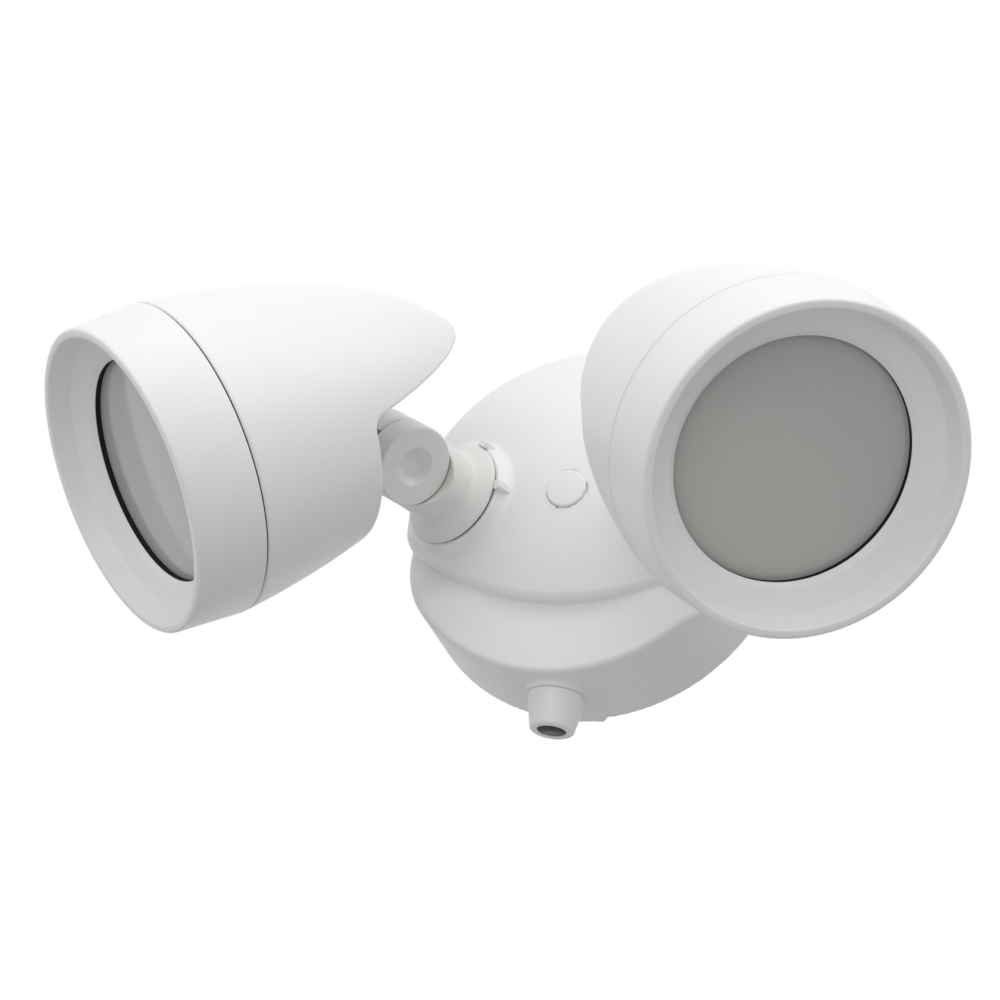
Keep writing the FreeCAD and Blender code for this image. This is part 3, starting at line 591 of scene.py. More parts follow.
@dataclass(frozen=True)
class FrostedGlass:
    """Grey tempered glass etched on its inner face, so that the lamp behind stays unseen."""

    name: str
    warm: Colour
    cool: Colour
    roughness: tuple[float, float] = (0.09, 0.14)
    grain: float = 0.000001

    def make(self) -> bpy.types.Material:
        """Builds the material."""
        tree = NodeTree(self.name)
        tree.tint(tree.noise(9.0, 1.0), self.warm, self.cool)
        tree.dull(tree.noise(300.0, 3.0), *self.roughness)
        tree.set(Specular_IOR_Level=0.5, IOR=1.5)
        tree.dent((tree.noise(9000.0, 2.0), self.grain))
        return tree.material


@dataclass(frozen=True)
class Rubber:
    """Moulded rubber with a dull, faintly dusty skin."""

    name: str
    colour: Colour
    dust: Colour
    roughness: tuple[float, float] = (0.62, 0.78)
    grain: float = 0.00001

    def make(self) -> bpy.types.Material:
        """Builds the material."""
        tree = NodeTree(self.name)
        tree.tint(tree.noise(500.0, 4.0), self.colour, self.dust)
        tree.dull(tree.noise(260.0, 3.0), *self.roughness)
        tree.set(Specular_IOR_Level=0.25)
        tree.dent((tree.noise(3000.0, 3.0), self.grain))
        return tree.material


@dataclass(frozen=True)
class Moulding:
    """Moulded plastic with a fine spark-eroded grain."""

    name: str
    colour: Colour
    shade: Colour
    roughness: tuple[float, float] = (0.40, 0.52)
    grain: float = 0.000004

    def make(self) -> bpy.types.Material:
        """Builds the material."""
        tree = NodeTree(self.name)
        tree.tint(tree.noise(60.0, 3.0), self.colour, self.shade)
        tree.dull(tree.noise(420.0, 3.0), *self.roughness)
        tree.dent((tree.noise(5200.0, 2.0), self.grain))
        return tree.material


@dataclass(frozen=True)
class DarkWindow:
    """A glossy smoked window with a mottled cell behind it."""

    name: str
    colour: Colour
    fleck: Colour

    def make(self) -> bpy.types.Material:
        """Builds the material."""
        tree = NodeTree(self.name)
        tree.tint(tree.noise(750.0, 5.0, 0.7), self.colour, self.fleck)
        tree.dull(tree.noise(500.0), 0.10, 0.22)
        tree.set(Specular_IOR_Level=0.3)
        tree.dent((tree.noise(700.0, 3.0), 0.00002))
        return tree.material


@dataclass(frozen=True)
class Metal:
    """Bare or plated metal with drawn or blasted grain."""

    name: str
    colour: Colour
    shade: Colour
    roughness: tuple[float, float]
    grain: float = 0.000006
    metallic: float = 1.0

    def make(self) -> bpy.types.Material:
        """Builds the material."""
        tree = NodeTree(self.name)
        tree.tint(tree.noise(90.0, 4.0), self.colour, self.shade)
        tree.dull(tree.noise(700.0, 4.0), *self.roughness)
        tree.set(Metallic=self.metallic)
        tree.dent((tree.noise(2600.0, 3.0), self.grain))
        return tree.material


@dataclass
class Finishes:
    """Every material of the light, made once."""

    made: dict[Slot, bpy.types.Material] = field(default_factory=dict)

    def __post_init__(self) -> None:
        """Makes the materials."""
        recipes = {
            Slot.WHITE_CAST: PowderCoat("satin_white_coat", (0.86, 0.86, 0.855), (0.845, 0.847, 0.845)),
            Slot.KNUCKLE_CAST: PowderCoat(
                "satin_knuckle_coat", (0.79, 0.79, 0.772), (0.775, 0.775, 0.755), (0.42, 0.52)
            ),
            Slot.WHITE_PLASTIC: Moulding("white_moulding", (0.84, 0.84, 0.83), (0.82, 0.82, 0.815)),
            Slot.LENS_GLASS: FrostedGlass("frosted_lens", (0.525, 0.525, 0.500), (0.512, 0.527, 0.523)),
            Slot.WINDOW_DARK: DarkWindow("smoked_window", (0.003, 0.003, 0.004), (0.035, 0.035, 0.04)),
            Slot.SEAL_RUBBER: Rubber("black_rubber", (0.004, 0.004, 0.004), (0.012, 0.012, 0.011)),
            Slot.ZINC_STEEL: Metal("zinc_plate", (0.62, 0.63, 0.66), (0.55, 0.55, 0.56), (0.26, 0.42)),
            Slot.BARE_ALUMINIUM: Metal(
                "blasted_aluminium", (0.74, 0.75, 0.76), (0.68, 0.69, 0.70), (0.40, 0.55)
            ),
            Slot.REFLECTOR_BRIGHT: Metal(
                "bright_reflector", (0.9, 0.9, 0.91), (0.87, 0.88, 0.9), (0.06, 0.12), grain=0.000001
            ),
            Slot.BOARD_WHITE: Moulding(
                "white_solder_mask", (0.82, 0.83, 0.80), (0.78, 0.79, 0.76), (0.30, 0.42)
            ),
            Slot.DRIVER_CASE: Moulding(
                "black_driver_case", (0.016, 0.016, 0.018), (0.026, 0.026, 0.028), (0.45, 0.62)
            ),
            Slot.GROUND_GREEN: Metal(
                "green_screw", (0.02, 0.22, 0.07), (0.03, 0.16, 0.06), (0.28, 0.40), 0.000004, metallic=0.6
            ),
            Slot.FIBRE: Moulding("grey_nylon_washer", (0.62, 0.62, 0.60), (0.56, 0.56, 0.54), (0.55, 0.65)),
        }
        for slot, recipe in recipes.items():
            self.made[slot] = recipe.make()

    def piece(self, name: str, slot: Slot, skin: Skin, place: Place, coat: Optional[Slot] = None) -> Piece:
        """A piece that starts with one skin.

        Args:
            name: Name of the object.
            slot: Its material slot.
            skin: Its skin.
            place: The frame that the skin stands in.
            coat: Slot of the skin's finish, where that isn't the piece's own.

        Returns:
            The piece, before it is built.
        """
        return Piece(name, slot).add(skin, place, self.made[coat or slot])

    def dress(self, frame: dict) -> None:
        """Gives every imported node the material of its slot.
        """
        for entry in frame["record"]["subparts"]:
            node = frame["nodes"][entry["node"]]
            material = self.made[Slot(entry["material_slot"])]
            for place in range(len(node.material_slots)):
                node.material_slots[place].material = material
            if not node.material_slots:
                node.data.materials.append(material)


# The canopy on the wall


@dataclass
class Canopy:
    """The die-cast cover: domed face, sunken chin with a raised lip, arm seats and sensor boss."""

    finishes: Finishes
    seats: dict[Hand, Place]
    radius: float = 63.5
    wall: float = 2.2
    draft: float = math.radians(2.6)
    apex: float = 41.0
    dome: float = 137.0
    shoulder: float = 10.5
    step_radius: float = 84.0
    step_centre: float = 47.0
    step_edge: float = 3.2
    valley: float = 1.0
    shelf_rise: float = math.radians(8.3)
    lip_height: float = 35.2
    lip_edge: float = 1.7
    ramp: tuple[float, float, float] = (27.1, 0.247, 0.434)
    ridge: float = 26.0
    seat_radius: float = 18.9
    seat_depth: float = 6.0
    seat_blend: float = 3.5
    stem_hole: float = 8.05
    plug_hole: float = 6.8
    plug_floor: float = 39.8
    bolt_hole: float = 2.55
    bolt_post: float = 8.0
    post_foot: float = 8.0
    driver_post: float = 3.6
    driver_post_across: float = 19.0
    driver_post_up: float = 31.0
    driver_post_foot: float = 26.0
    ledge_inner: float = 55.3
    ledge_low: float = 1.5
    ledge_high: float = 3.5
    sensor_out: float = 19.6
    sensor_drop: float = 64.2
    sensor_boss_radius: float = 10.1
    sensor_boss_deep: float = 6.4
    sensor_pad_half: float = 10.3
    sensor_hole: float = 7.05
    sensor_hole_top: float = -40.0
    pitch: float = 0.9

    def main_face(self, points: np.ndarray) -> np.ndarray:
        """The domed face above the step."""
        across, up, out = points.T
        ball = np.sqrt(across**2 + up**2 + (out - self.apex + self.dome) ** 2) - self.dome
        body = meet(ball, self.side_wall(points), self.shoulder, 0.46)
        step = np.hypot(across, up - self.step_centre) - self.step_radius
        return meet(body, step, self.step_edge, 0.27)

    def side_wall(self, points: np.ndarray) -> np.ndarray:
        """The slightly tapered round wall."""
        across, up, out = points.T
        return (np.hypot(across, up) - self.radius + out * math.tan(self.draft)) * math.cos(self.draft)

    def chin(self, points: np.ndarray) -> np.ndarray:
        """The lower step, which rises to a lip and ramps down to the shoulder at both sides."""
        across, up, out = points.T
        lip_radius = self.radius - self.lip_height * math.tan(self.draft)
        rise = (lip_radius - np.hypot(across, up)) * math.tan(self.shelf_rise)
        shelf = (out - self.lip_height + rise) * math.cos(self.shelf_rise)
        start, sideways, down = self.ramp
        ramp = (out - start + sideways * np.abs(across) + down * up) / math.sqrt(1 + sideways**2 + down**2)
        return meet(meet(shelf, ramp, self.ridge, 0.886), self.side_wall(points), self.lip_edge, -0.05)

    def seat(self, points: np.ndarray, place: Place) -> np.ndarray:
        """The round boss under one arm's flange."""
        across, beside, along = local_to(points, place).T
        disc = meet(np.hypot(across, beside) - self.seat_radius, along, 1.0)
        return np.maximum(disc, -self.seat_depth - along)

    def sensor_boss(self, points: np.ndarray) -> np.ndarray:
        """The boss and the flat pad under the canopy that carry the dusk sensor."""
        across, up, out = points.T
        low = -self.sensor_drop - up
        boss = meet(np.hypot(across, out - self.sensor_out) - self.sensor_boss_radius, low, 0.5)
        sides = band(across, -self.sensor_pad_half, self.sensor_pad_half)
        pad = meet(np.maximum(sides, band(out, -1.0, self.sensor_out)), low, 0.9)
        return np.maximum(join(boss, pad, 1.0), up + self.sensor_drop - self.sensor_boss_deep)

    def outside(self, points: np.ndarray) -> np.ndarray:
        """The canopy as if it were solid."""
        form = join(self.main_face(points), self.chin(points), self.valley, -0.14)
        for place in self.seats.values():
            form = join(form, self.seat(points, place), self.seat_blend)
        return join(form, self.sensor_boss(points), 1.2)

    def casting(self, points: np.ndarray) -> np.ndarray:
        """The hollow casting with its posts, ledge and holes."""
        across, up, out = points.T
        outside = self.outside(points)
        form = np.maximum(outside, -outside - self.wall)
        reach = np.hypot(across, up)
        post = np.maximum(reach - self.bolt_post, self.post_foot - out)
        for side in (-self.driver_post_across, self.driver_post_across):
            round_post = np.hypot(across - side, up - self.driver_post_up) - self.driver_post
            post = np.minimum(post, np.maximum(round_post, self.driver_post_foot - out))
        around = band(reach, self.ledge_inner, self.radius - 1.0)
        ledge = np.maximum(around, band(out, self.ledge_low, self.ledge_high))
        form = np.minimum(form, np.maximum(np.minimum(post, ledge), outside))
        plug_seat = np.maximum(reach - self.plug_hole, self.plug_floor - out)
        form = carve(form, np.minimum(reach - self.bolt_hole, plug_seat), 0.25)
        for place in self.seats.values():
            beside = local_to(points, place)
            form = np.maximum(form, self.stem_hole - np.hypot(beside[:, 0], beside[:, 1]))
        from_sensor = np.hypot(across, out - self.sensor_out)
        hole = np.maximum(from_sensor - self.sensor_hole, up - self.sensor_hole_top)
        return np.maximum(np.maximum(form, -hole), -out)

    def build(self) -> None:
        """Meshes the casting with its lugs."""
        reach = self.radius + 2.0
        low, high = (-reach, -reach - 1.0, -1.6), (reach, reach, self.apex + 3.0)
        skin = cast(self.casting, low, high, self.pitch)
        piece = self.finishes.piece("canopy_casting", Slot.WHITE_CAST, skin, WALL)
        for hand, seat in self.seats.items():
            for lug in LUGS:
                piece.add(lug.skin(), lug.place(seat, hand), piece.finishes[0])
        piece.build("canopy", "canopy_housing")


@dataclass(frozen=True)
class Lug:
    """One small cast lug beside an arm's flange, which marks an end of its swivel.

    Its heading is in degrees above the level line that runs inwards from the swivel's axis.
    """

    heading: float
    far: float
    width: float
    near: float = 18.2
    root: float = -4.5
    height: float = 1.5
    narrowing: float = 0.12
    pitch: float = 0.25

    def form(self, points: np.ndarray) -> np.ndarray:
        """A block with soft edges that narrows outwards."""
        out, beside, along = points.T
        taper = np.abs(beside) - self.width / 2 + self.narrowing * (out - self.near)
        block = meet(band(out, self.near, self.far), taper, 0.5)
        return meet(block, band(along, self.root, self.height), 0.4)

    def skin(self) -> Skin:
        """The meshed lug."""
        low = (self.near - 1, -self.width, self.root - 1)
        return cast(self.form, low, (self.far + 1, self.width, self.height + 1), self.pitch)

    def place(self, seat: Place, hand: Hand) -> Place:
        """The lug's frame: X points away from the swivel's axis.

        Args:
            seat: The arm's frame.
            hand: Which side.

        Returns:
            The frame.
        """
        inward = Vector((-hand.value, 0, 0))
        level = (inward - seat.along * inward.dot(seat.along)).normalized()
        turn = math.radians(self.heading)
        heading = level * math.cos(turn) + Vector((0, 0, 1)) * math.sin(turn)
        return Place(seat.origin, heading, seat.along.cross(heading), seat.along)


LUGS = (Lug(60.0, 20.6, 4.2), Lug(-1.0, 21.0, 3.4))


def local_to(points: np.ndarray, place: Place) -> np.ndarray:
    """Points of the wall's frame as another frame sees them.

    Args:
        points: One point a row, in the wall's millimetres.
        place: The other frame.

    Returns:
        The points in that frame's millimetres.
    """
    world = points @ WALL.directions()
    return (world - np.array(place.origin) / MM) @ place.directions().T


@dataclass
class WallFixings:
    """What shows of the canopy's fixings: the plug over its bolt and the gasket on the wall."""

    finishes: Finishes
    plug_radius: float = 6.62
    plug_top: float = 41.95
    plug_depth: float = 2.1
    crown: float = 0.3
    stem: float = 3.6
    stem_end: float = 30.2
    gasket_outer: float = 61.1
    gasket_inner: float = 55.1
    gasket_thick: float = 1.5

    def build(self) -> None:
        """Turns the plug and the wall gasket."""
        self.plug()
        self.gasket()

    def plug(self) -> None:
        """The small domed plug over the canopy bolt."""
        low = self.plug_top - self.plug_depth
        rim = self.plug_top - self.crown
        bulge = self.plug_radius**2 / (2 * self.crown)
        reaches = np.linspace(0, self.plug_radius * 0.93, 14)
        arc = [(reach, self.plug_top - reach**2 / (2 * bulge)) for reach in reaches]
        outline = [
            (0.0, self.stem_end), (self.stem, self.stem_end), (self.stem, low), (self.plug_radius, low),
            (self.plug_radius, rim - 0.1), *arc[::-1],
        ]
        skin = lathe(rounded(outline, {3: 0.15, 4: 0.7}), 96)
        piece = self.finishes.piece("bolt_plug_cap", Slot.WHITE_PLASTIC, skin, WALL, Slot.WHITE_CAST)
        piece.build("canopy", "bolt_plug")

    def gasket(self) -> None:
        """The soft ring between the canopy and the wall."""
        outline = hoop(self.gasket_inner, self.gasket_outer, 0.0, self.gasket_thick)
        skin = lathe(rounded(outline, {corner: 0.3 for corner in range(1, 5)}), 200)
        piece = self.finishes.piece("wall_gasket_ring", Slot.SEAL_RUBBER, skin, WALL)
        piece.build("canopy", "wall_gasket")


@dataclass
class DuskSensor:
    """The tapered snout under the canopy and its dark window."""

    finishes: Finishes
    out: float = 19.6
    drop: float = 64.2
    seal: float = 0.4
    length: float = 11.4
    base: float = 9.55
    skirt: float = 8.9
    tip: float = 7.1
    window: float = 4.7
    window_gap: float = 0.05
    window_deep: float = 1.85
    window_inset: float = 0.45
    window_crown: float = 0.12
    spigot: float = 7.0
    spigot_bore: float = 5.2
    spigot_end: float = -12.6
    skirt_low: float = 0.08
    seal_gap: float = 0.05
    seal_radius: float = 8.8

    def place(self) -> Place:
        """The sensor's frame: Z points down."""
        origin = Vector((0, -self.out, -self.drop)) * MM
        return Place(origin, Vector((1, 0, 0)), Vector((0, -1, 0)), Vector((0, 0, -1)))

    def build(self) -> None:
        """Turns the snout, the window and the seal."""
        end = self.seal + self.length
        seat = end - self.window_deep
        mouth = self.window + self.window_gap
        hood = [
            (self.spigot_bore, self.spigot_end), (self.spigot, self.spigot_end), (self.spigot, self.seal),
            (self.skirt, self.seal), (self.skirt, self.skirt_low), (self.base, self.skirt_low),
            (self.tip, end), (mouth, end), (mouth, seat), (0.0, seat),
        ]
        skin = lathe(rounded(hood, {5: 0.3, 6: 1.1, 7: 0.35}))
        snout = self.finishes.piece("sensor_hood", Slot.WHITE_PLASTIC, skin, self.place(), Slot.WHITE_CAST)
        snout.build("canopy", "sensor_snout")
        skin = lathe(hoop(self.spigot + self.seal_gap, self.seal_radius, 0.0, self.seal))
        seal = self.finishes.piece("sensor_seal_ring", Slot.SEAL_RUBBER, skin, self.place())
        seal.build("canopy", "sensor_seal")
        face = end - self.window_inset
        glass = [(0.0, seat), (self.window, seat), (self.window, face), (0.0, face + self.window_crown)]
        skin = lathe(rounded(glass, {2: 0.35}), 96)
        window = self.finishes.piece("sensor_dark_window", Slot.WINDOW_DARK, skin, self.place())
        window.build("canopy", "sensor_window")


# Arms and heads


@dataclass
class Arm:
    """The cast arm: flange on the canopy, round neck and the far half of the pivot barrel."""

    finishes: Finishes
    hand: Hand
    seat: Place
    reach: float = 27.7
    flange: float = 18.0
    flange_low: float = 0.75
    rim_top: float = 1.9
    slope_top: float = 5.4
    neck: float = 12.8
    neck_fillet: float = 1.2
    barrel: float = 13.3
    barrel_back: float = 12.5
    lap: float = 0.25
    gap: float = 0.5
    trim: float = 8.5
    bore: float = 4.0
    stem: float = 8.0
    stem_end: float = -16.0
    stem_top: float = 1.6
    gasket_gap: float = 0.05
    gasket_inset: float = 0.6
    gasket_thick: float = 0.7
    pitch: float = 0.45

    def form(self, points: np.ndarray) -> np.ndarray:
        """The arm above the canopy."""
        across, beside, along = points.T
        radius = np.hypot(across, beside)
        width, height = self.flange - self.neck, self.slope_top - self.rim_top
        length = math.hypot(width, height)
        slope = ((radius - self.flange) * height + (along - self.rim_top) * width) / length
        flange = meet(radius - self.flange, slope, 1.0, height / length)
        flange = meet(flange, self.flange_low - along, 0.3)
        neck = np.maximum(radius - self.neck, np.maximum(along - self.reach, self.flange_low + 0.4 - along))
        from_pivot = np.hypot(across, along - self.reach)
        barrel = meet(from_pivot - self.barrel, band(beside, -self.barrel_back, -self.lap), 0.7)
        body = join(join(flange, neck, self.neck_fillet), barrel, 1.0)
        near = np.minimum(from_pivot - self.barrel - self.gap, self.reach - self.trim - along)
        body = carve(body, np.maximum(-self.lap - beside, near), 0.4)
        bore = np.maximum(radius - self.bore, self.flange_low - 2 - along)
        return np.maximum(body, -bore)

    def build(self) -> None:
        """Meshes the arm and turns its stem and its gasket."""
        side = self.hand.side
        reach = self.flange + 1.5
        low, high = (-reach, -reach, -0.5), (reach, reach, self.reach + self.barrel + 1.5)
        skin = cast(self.form, low, high, self.pitch)
        piece = self.finishes.piece(f"{side}_arm_casting", Slot.KNUCKLE_CAST, skin, self.seat)
        stem = [
            (self.bore, self.stem_top), (self.bore, self.stem_end), (self.stem, self.stem_end),
            (self.stem, self.stem_top), (self.bore, self.stem_top),
        ]
        piece.add(lathe(rounded(stem, {1: 0.3, 2: 0.8}), 96), self.seat, piece.finishes[0])
        piece.build(f"{side}_arm_body", f"{side}_arm")
        inner, outer = self.stem + self.gasket_gap, self.flange - self.gasket_inset
        ring = lathe(hoop(inner, outer, 0.0, self.gasket_thick))
        gasket = self.finishes.piece(f"{side}_flange_gasket", Slot.SEAL_RUBBER, ring, self.seat)
        gasket.build(f"{side}_arm_body", f"{side}_arm_gasket")


@dataclass
class Head:
    """One lamp head: pivot ear, bullet shell with its notch, bezel, gasket and lens."""

    finishes: Finishes
    hand: Hand
    pivot: Place
    offset: float = 25.5
    reach: float = 87.3
    barrel: float = 13.3
    disc_face: float = 9.4
    lap: float = 0.25
    gap: float = 0.8
    dimple: tuple[float, float, float] = (6.4, 4.2, 2.6)
    stem: float = 9.2
    foot: float = 12.5
    foot_thick: float = 3.0
    foot_gap: float = 0.8
    ogive_length: float = 136.6
    ogive_radius: float = 51.2
    ogive_centre: float = 20.0
    ogive_back: float = -117.5
    seam: float = 11.6
    seal: float = 0.6
    seal_inset: float = 0.7
    seal_back: float = -12.2
    notch_back: float = 57.0
    notch_floor: float = 10.8
    notch_slope: float = math.radians(5.0)
    notch_corner: float = 4.0
    notch_edge: float = 0.9
    bezel_back: float = 49.8
    bezel_front: float = 48.2
    rim_front: float = 10.7
    rim_inner: float = 45.4
    spigot: float = 45.25
    spigot_gap: float = 0.05
    recess: tuple[float, float] = (43.9, 3.7)
    bevel_width: float = 1.7
    bevel_top: float = 1.1
    bevel_end: float = -0.3
    opening: float = 35.4
    web: float = 0.55
    gasket_reveal: float = 0.1
    lens_radius: float = 41.0
    lens_gap: float = 0.1
    lens_seat: float = -2.0
    lens_face: float = 2.4
    lens_thick: float = 3.0
    pitch: float = 0.85
    ear_pitch: float = 0.42

    @property
    def opening_place(self) -> Place:
        """The frame at the centre of the lens opening, whose Z is the way the light points."""
        return self.pivot.moved(across=self.offset, along=self.reach)

    def ear_form(self, points: np.ndarray) -> np.ndarray:
        """The near half of the pivot barrel, its stem and its foot on the shell."""
        across, beside, along = points.T
        from_pivot = np.hypot(across, along)
        lap = meet(from_pivot - self.barrel, band(beside, self.lap, self.disc_face), 0.7)
        mouth, floor, depth = self.dimple
        flare = (mouth - floor) / depth
        height = beside - self.disc_face + depth
        cone = (from_pivot - floor - height * flare) / math.hypot(1, flare)
        lap = carve(lap, meet(cone, -height, 0.35, -0.65), 0.3, 0.65)
        end = self.reach - self.notch_back - self.foot_gap
        radius = np.hypot(across, beside)
        stem = np.maximum(radius - self.stem, band(along, 0, end))
        foot = meet(radius - self.foot, band(along, end - self.foot_thick, end), 0.6)
        stem = join(stem, foot, 2.0)
        swept = np.maximum(beside - self.lap, from_pivot - self.barrel - self.gap)
        stem = np.maximum(stem, -swept)
        stem = np.maximum(stem, self.barrel * 0.6 - from_pivot)
        return join(lap, stem, 0.8)

    def shell_form(self, points: np.ndarray) -> np.ndarray:
        """The bullet-shaped shell with the L-shaped notch that the pivot sits in."""
        across, beside, along = points.T
        scale = np.array([self.ogive_radius, self.ogive_radius, self.ogive_length])
        centred = points - np.array([0, 0, self.ogive_centre])
        near = np.linalg.norm(centred / scale, axis=1)
        steep = np.linalg.norm(centred / scale**2, axis=1)
        ogive = near * (near - 1) / np.maximum(steep, 1e-6)
        rise = (-self.notch_back - along) * math.tan(self.notch_slope)
        roof = (across - self.notch_floor - rise) * math.cos(self.notch_slope)
        notch = meet(along + self.notch_back, roof, self.notch_corner, 0.09)
        body = carve(ogive, notch, self.notch_edge, -0.1)
        return meet(body, along + self.seam + self.seal, 0.3)

    def build(self) -> None:
        """Meshes and turns every visible piece of the head."""
        self.build_ear()
        self.build_shell()
        self.build_bezel()
        self.build_lens()

    def build_ear(self) -> None:
        """The pivot ear, whose dimple closes over the cap on its screw."""
        side = self.hand.side
        reach = self.barrel + 1.5
        high = (reach, reach, self.reach - self.notch_back + 1)
        skin = cast(self.ear_form, (-reach, -reach, -reach), high, self.ear_pitch)
        piece = self.finishes.piece(f"{side}_pivot_ear_casting", Slot.KNUCKLE_CAST, skin, self.pivot)
        piece.build(f"{side}_head_body", f"{side}_pivot_ear", f"{side}_pivot_cap")

    def build_shell(self) -> None:
        """The rear shell and the black seal in its seam."""
        side = self.hand.side
        reach = self.ogive_radius + 1.0
        skin = cast(self.shell_form, (-reach, -reach, self.ogive_back), (reach, reach, -10.0), self.pitch)
        piece = self.finishes.piece(f"{side}_shell_casting", Slot.WHITE_CAST, skin, self.opening_place)
        piece.build(f"{side}_head_body", f"{side}_rear_shell")
        inner, outer = self.spigot + self.spigot_gap, self.bezel_back - self.seal_inset
        ring = [(inner, self.seal_back), (outer, self.seal_back), (outer, -self.seam), (inner, -self.seam)]
        skin = lathe(ring, 200)
        seal = self.finishes.piece(f"{side}_seam_ring", Slot.SEAL_RUBBER, skin, self.opening_place)
        seal.build(f"{side}_head_body", f"{side}_seam_seal")

    def build_bezel(self) -> None:
        """The front ring, whose sunken face slopes in to a bevel round the lens."""
        pocket = self.lens_radius + self.lens_gap
        outline = [
            (self.spigot, -self.seam), (self.bezel_back, -self.seam), (self.bezel_front, self.rim_front),
            (self.rim_inner, self.rim_front), self.recess, (self.opening + self.bevel_width, self.bevel_top),
            (self.opening, self.bevel_end), (self.opening, -self.web), (pocket, -self.web),
            (pocket, self.lens_seat), (self.spigot, self.lens_seat), (self.spigot, -self.seam),
        ]
        skin = lathe(rounded(outline, {1: 0.25, 2: 1.1, 3: 0.8, 4: 0.35, 5: 0.5, 6: 0.12}), 256)
        side = self.hand.side
        piece = self.finishes.piece(f"{side}_bezel_ring", Slot.WHITE_CAST, skin, self.opening_place)
        piece.build(f"{side}_head_body", f"{side}_bezel")

    def build_lens(self) -> None:
        """The frosted lens and the black gasket in front of it."""
        side = self.hand.side
        inner, outer = self.opening + self.gasket_reveal, self.lens_radius
        face, front = -self.lens_face, -self.web
        ring = [(inner, face), (outer, face), (outer, front), (inner, front), (inner, face)]
        skin = lathe(ring, 200)
        gasket = self.finishes.piece(f"{side}_lens_seal", Slot.SEAL_RUBBER, skin, self.opening_place)
        gasket.build(f"{side}_head_body", f"{side}_lens_gasket")
        back = face - self.lens_thick
        disc = rounded([(0.0, back), (outer, back), (outer, face), (0.0, face)], {1: 0.4, 2: 0.4})
        skin = lathe(disc, 200)
        lens = self.finishes.piece(f"{side}_frosted_lens", Slot.LENS_GLASS, skin, self.opening_place)
        lens.build(f"{side}_head_body", f"{side}_lens")


def side_places(frame: dict, hand: Hand, tilt: float = math.radians(46.7)) -> tuple[Place, Place]:
    """The arm's frame on the canopy and the head's frame on the pivot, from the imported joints.

    Args:
        hand: Which side.
        tilt: The angle between arm and light at rest.

    Returns:
        The arm's frame and the pivot's.
    """
    joints = {joint["name"]: joint for joint in frame["joints"]}
    swivel, hinge = joints[f"{hand.side}_swivel"], joints[f"{hand.side}_tilt"]
    along, axle = Vector(swivel["axis"]).normalized(), Vector(hinge["axis"]).normalized()
    across = axle.cross(along)
    near = axle * hand.value
    seat = Place(Vector(swivel["pos_m"]), across, near, along)
    light = along * math.cos(tilt) - across * math.sin(tilt)
    lifted = across * math.cos(tilt) + along * math.sin(tilt)
    return seat, Place(Vector(hinge["pos_m"]), lifted, near, light)


# Studio


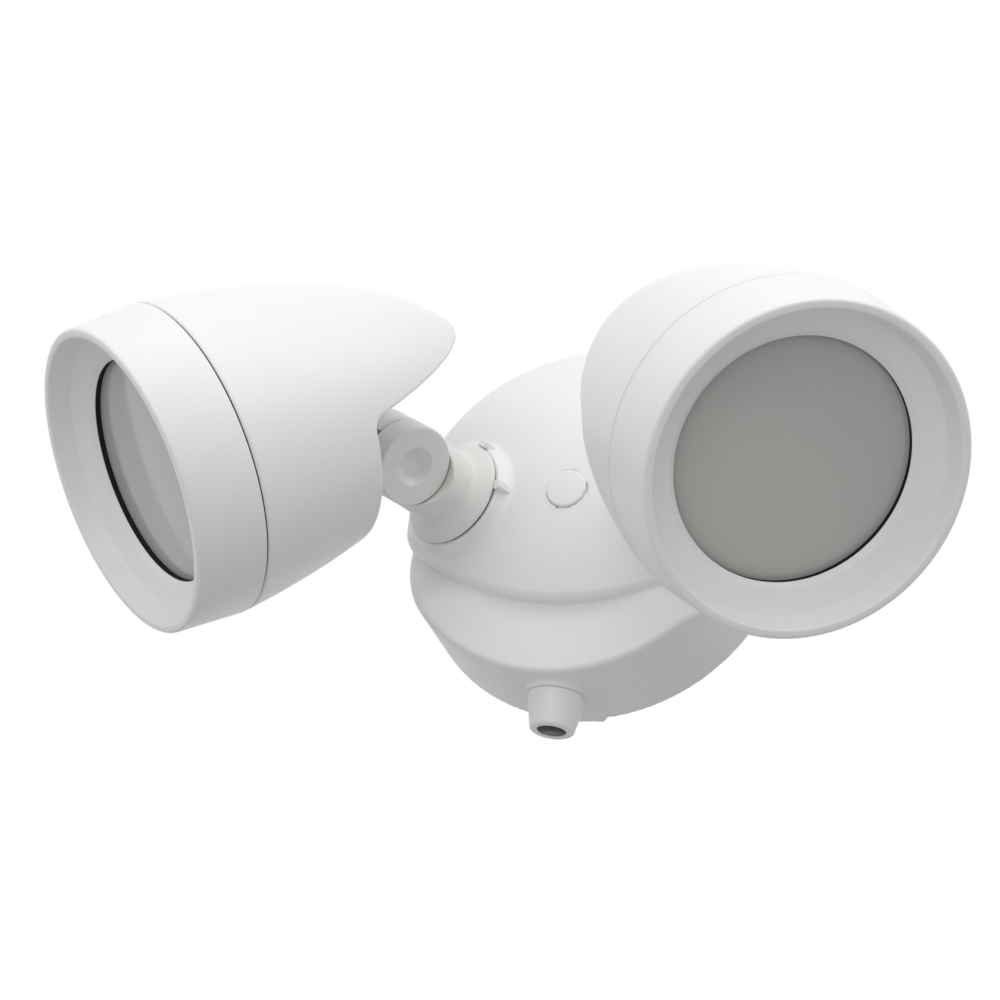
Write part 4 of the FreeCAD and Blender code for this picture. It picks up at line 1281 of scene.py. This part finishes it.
@dataclass
class Studio:
    """The photograph's camera and a plain white studio round the light."""

    eye: tuple[float, float, float] = (0.26976, -0.71306, -0.35983)
    right: tuple[float, float, float] = (0.93347, 0.32216, 0.15763)
    up: tuple[float, float, float] = (0.01070, -0.46432, 0.88560)
    back: tuple[float, float, float] = (0.35849, -0.82500, -0.43688)
    lens: float = 89.96
    sensor: float = 36.0
    ambient: float = 0.385
    lamp_width: float = 1.3
    floor_half: float = 6.0
    floor_height: float = -1.6

    def build(self) -> None:
        """Makes the camera, the white world, the lamps and the floor."""
        self.camera()
        self.world()
        self.lamps()
        self.floor()

    def camera(self) -> None:
        """Stands the camera where the photograph was taken from."""
        made = bpy.data.cameras.new("camera")
        made.lens = self.lens
        made.sensor_width = self.sensor
        made.clip_start, made.clip_end = 0.05, 20.0
        camera = bpy.data.objects.new("camera", made)
        turn = Matrix((self.right, self.up, self.back)).transposed()
        camera.matrix_world = Matrix.Translation(self.eye) @ turn.to_4x4()
        bpy.context.scene.collection.objects.link(camera)
        bpy.context.scene.camera = camera

    def world(self) -> None:
        """A world that is white to the camera, to gloss and through glass, and dimmer as a lamp."""
        world = bpy.data.worlds.new("studio")
        bpy.context.scene.world = world
        world.use_nodes = True
        nodes, links = world.node_tree.nodes, world.node_tree.links
        output = next(node for node in nodes if node.type == "OUTPUT_WORLD")
        soft = nodes["Background"]
        soft.inputs["Color"].default_value = (1.0, 1.0, 1.0, 1.0)
        soft.inputs["Strength"].default_value = self.ambient
        white = nodes.new("ShaderNodeBackground")
        white.inputs["Color"].default_value = (1.0, 1.0, 1.0, 1.0)
        path = nodes.new("ShaderNodeLightPath")
        mix = nodes.new("ShaderNodeMixShader")
        seen = self.largest(world.node_tree, path, "Is Camera Ray", "Is Glossy Ray", "Is Transmission Ray")
        links.new(seen, mix.inputs["Fac"])
        links.new(soft.outputs[0], mix.inputs[1])
        links.new(white.outputs[0], mix.inputs[2])
        links.new(mix.outputs[0], output.inputs["Surface"])

    def largest(self, tree: bpy.types.NodeTree, path: bpy.types.Node, *names: str) -> Socket:
        """The largest of some of the light path's outputs."""
        top = path.outputs[names[0]]
        for name in names[1:]:
            made = tree.nodes.new("ShaderNodeMath")
            made.operation = "MAXIMUM"
            tree.links.new(top, made.inputs[0])
            tree.links.new(path.outputs[name], made.inputs[1])
            top = made.outputs[0]
        return top

    def lamps(self) -> None:
        """Broad soft lamps: the strongest above at the right, the others above, in front and at the left."""
        self.lamp("upper_right", (1.3, -0.6, 1.3), 12.0)
        self.lamp("upper_front", (0.1, -1.1, 1.5), 9.0)
        self.lamp("front", (0.1, -1.95, 0.1), 8.4)
        self.lamp("front_left", (-1.2, -1.5, 0.5), 4.4)
        self.lamp("upper_left", (-1.3, -0.6, 1.3), 2.0)

    def lamp(self, name: str, place: tuple[float, float, float], power: float) -> None:
        """A square area lamp that faces the light.

        Args:
            name: Name of the lamp.
            place: Where it stands, in metres.
            power: Its power, in watts.
        """
        made = bpy.data.lights.new(name, "AREA")
        made.size = self.lamp_width
        made.energy = power
        lamp = bpy.data.objects.new(name, made)
        lamp.location = place
        lamp.rotation_euler = (-Vector(place)).to_track_quat("-Z", "Y").to_euler()
        bpy.context.scene.collection.objects.link(lamp)

    def floor(self) -> None:
        """A pale floor far below, which keeps the light's soft shadow."""
        mesh = bpy.data.meshes.new("studio_floor")
        signs = ((-1, -1), (1, -1), (1, 1), (-1, 1))
        sheet = [(across * self.floor_half, out * self.floor_half, self.floor_height) for across, out in signs]
        mesh.from_pydata(sheet, [], [(0, 1, 2, 3)])
        tree = NodeTree("pale_floor")
        tree.set(Base_Color=(0.8, 0.8, 0.8, 1.0), Roughness=0.9)
        mesh.materials.append(tree.material)
        floor = bpy.data.objects.new("studio_floor", mesh)
        bpy.context.scene.collection.objects.link(floor)


def corners(box: tuple[Vector, Vector]) -> list[list[float]]:
    """A box as plain lists."""
    return [list(corner) for corner in box]


def main() -> None:
    """Loads the frame and builds the light's looks and its studio."""
    logging.basicConfig(level=logging.INFO, format="%(message)s")
    for spare in list(bpy.data.objects):
        bpy.data.objects.remove(spare)
    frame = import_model()
    bpy.context.scene.view_settings.view_transform = "Standard"
    finishes = Finishes()
    finishes.dress(frame)
    places = {hand: side_places(frame, hand) for hand in Hand}
    Studio().build()
    Canopy(finishes, {hand: seat for hand, (seat, _) in places.items()}).build()
    WallFixings(finishes).build()
    DuskSensor(finishes).build()
    for hand, (seat, pivot) in places.items():
        Arm(finishes, hand, seat).build()
        Head(finishes, hand, pivot).build()


if __name__ == "__main__":
    main()
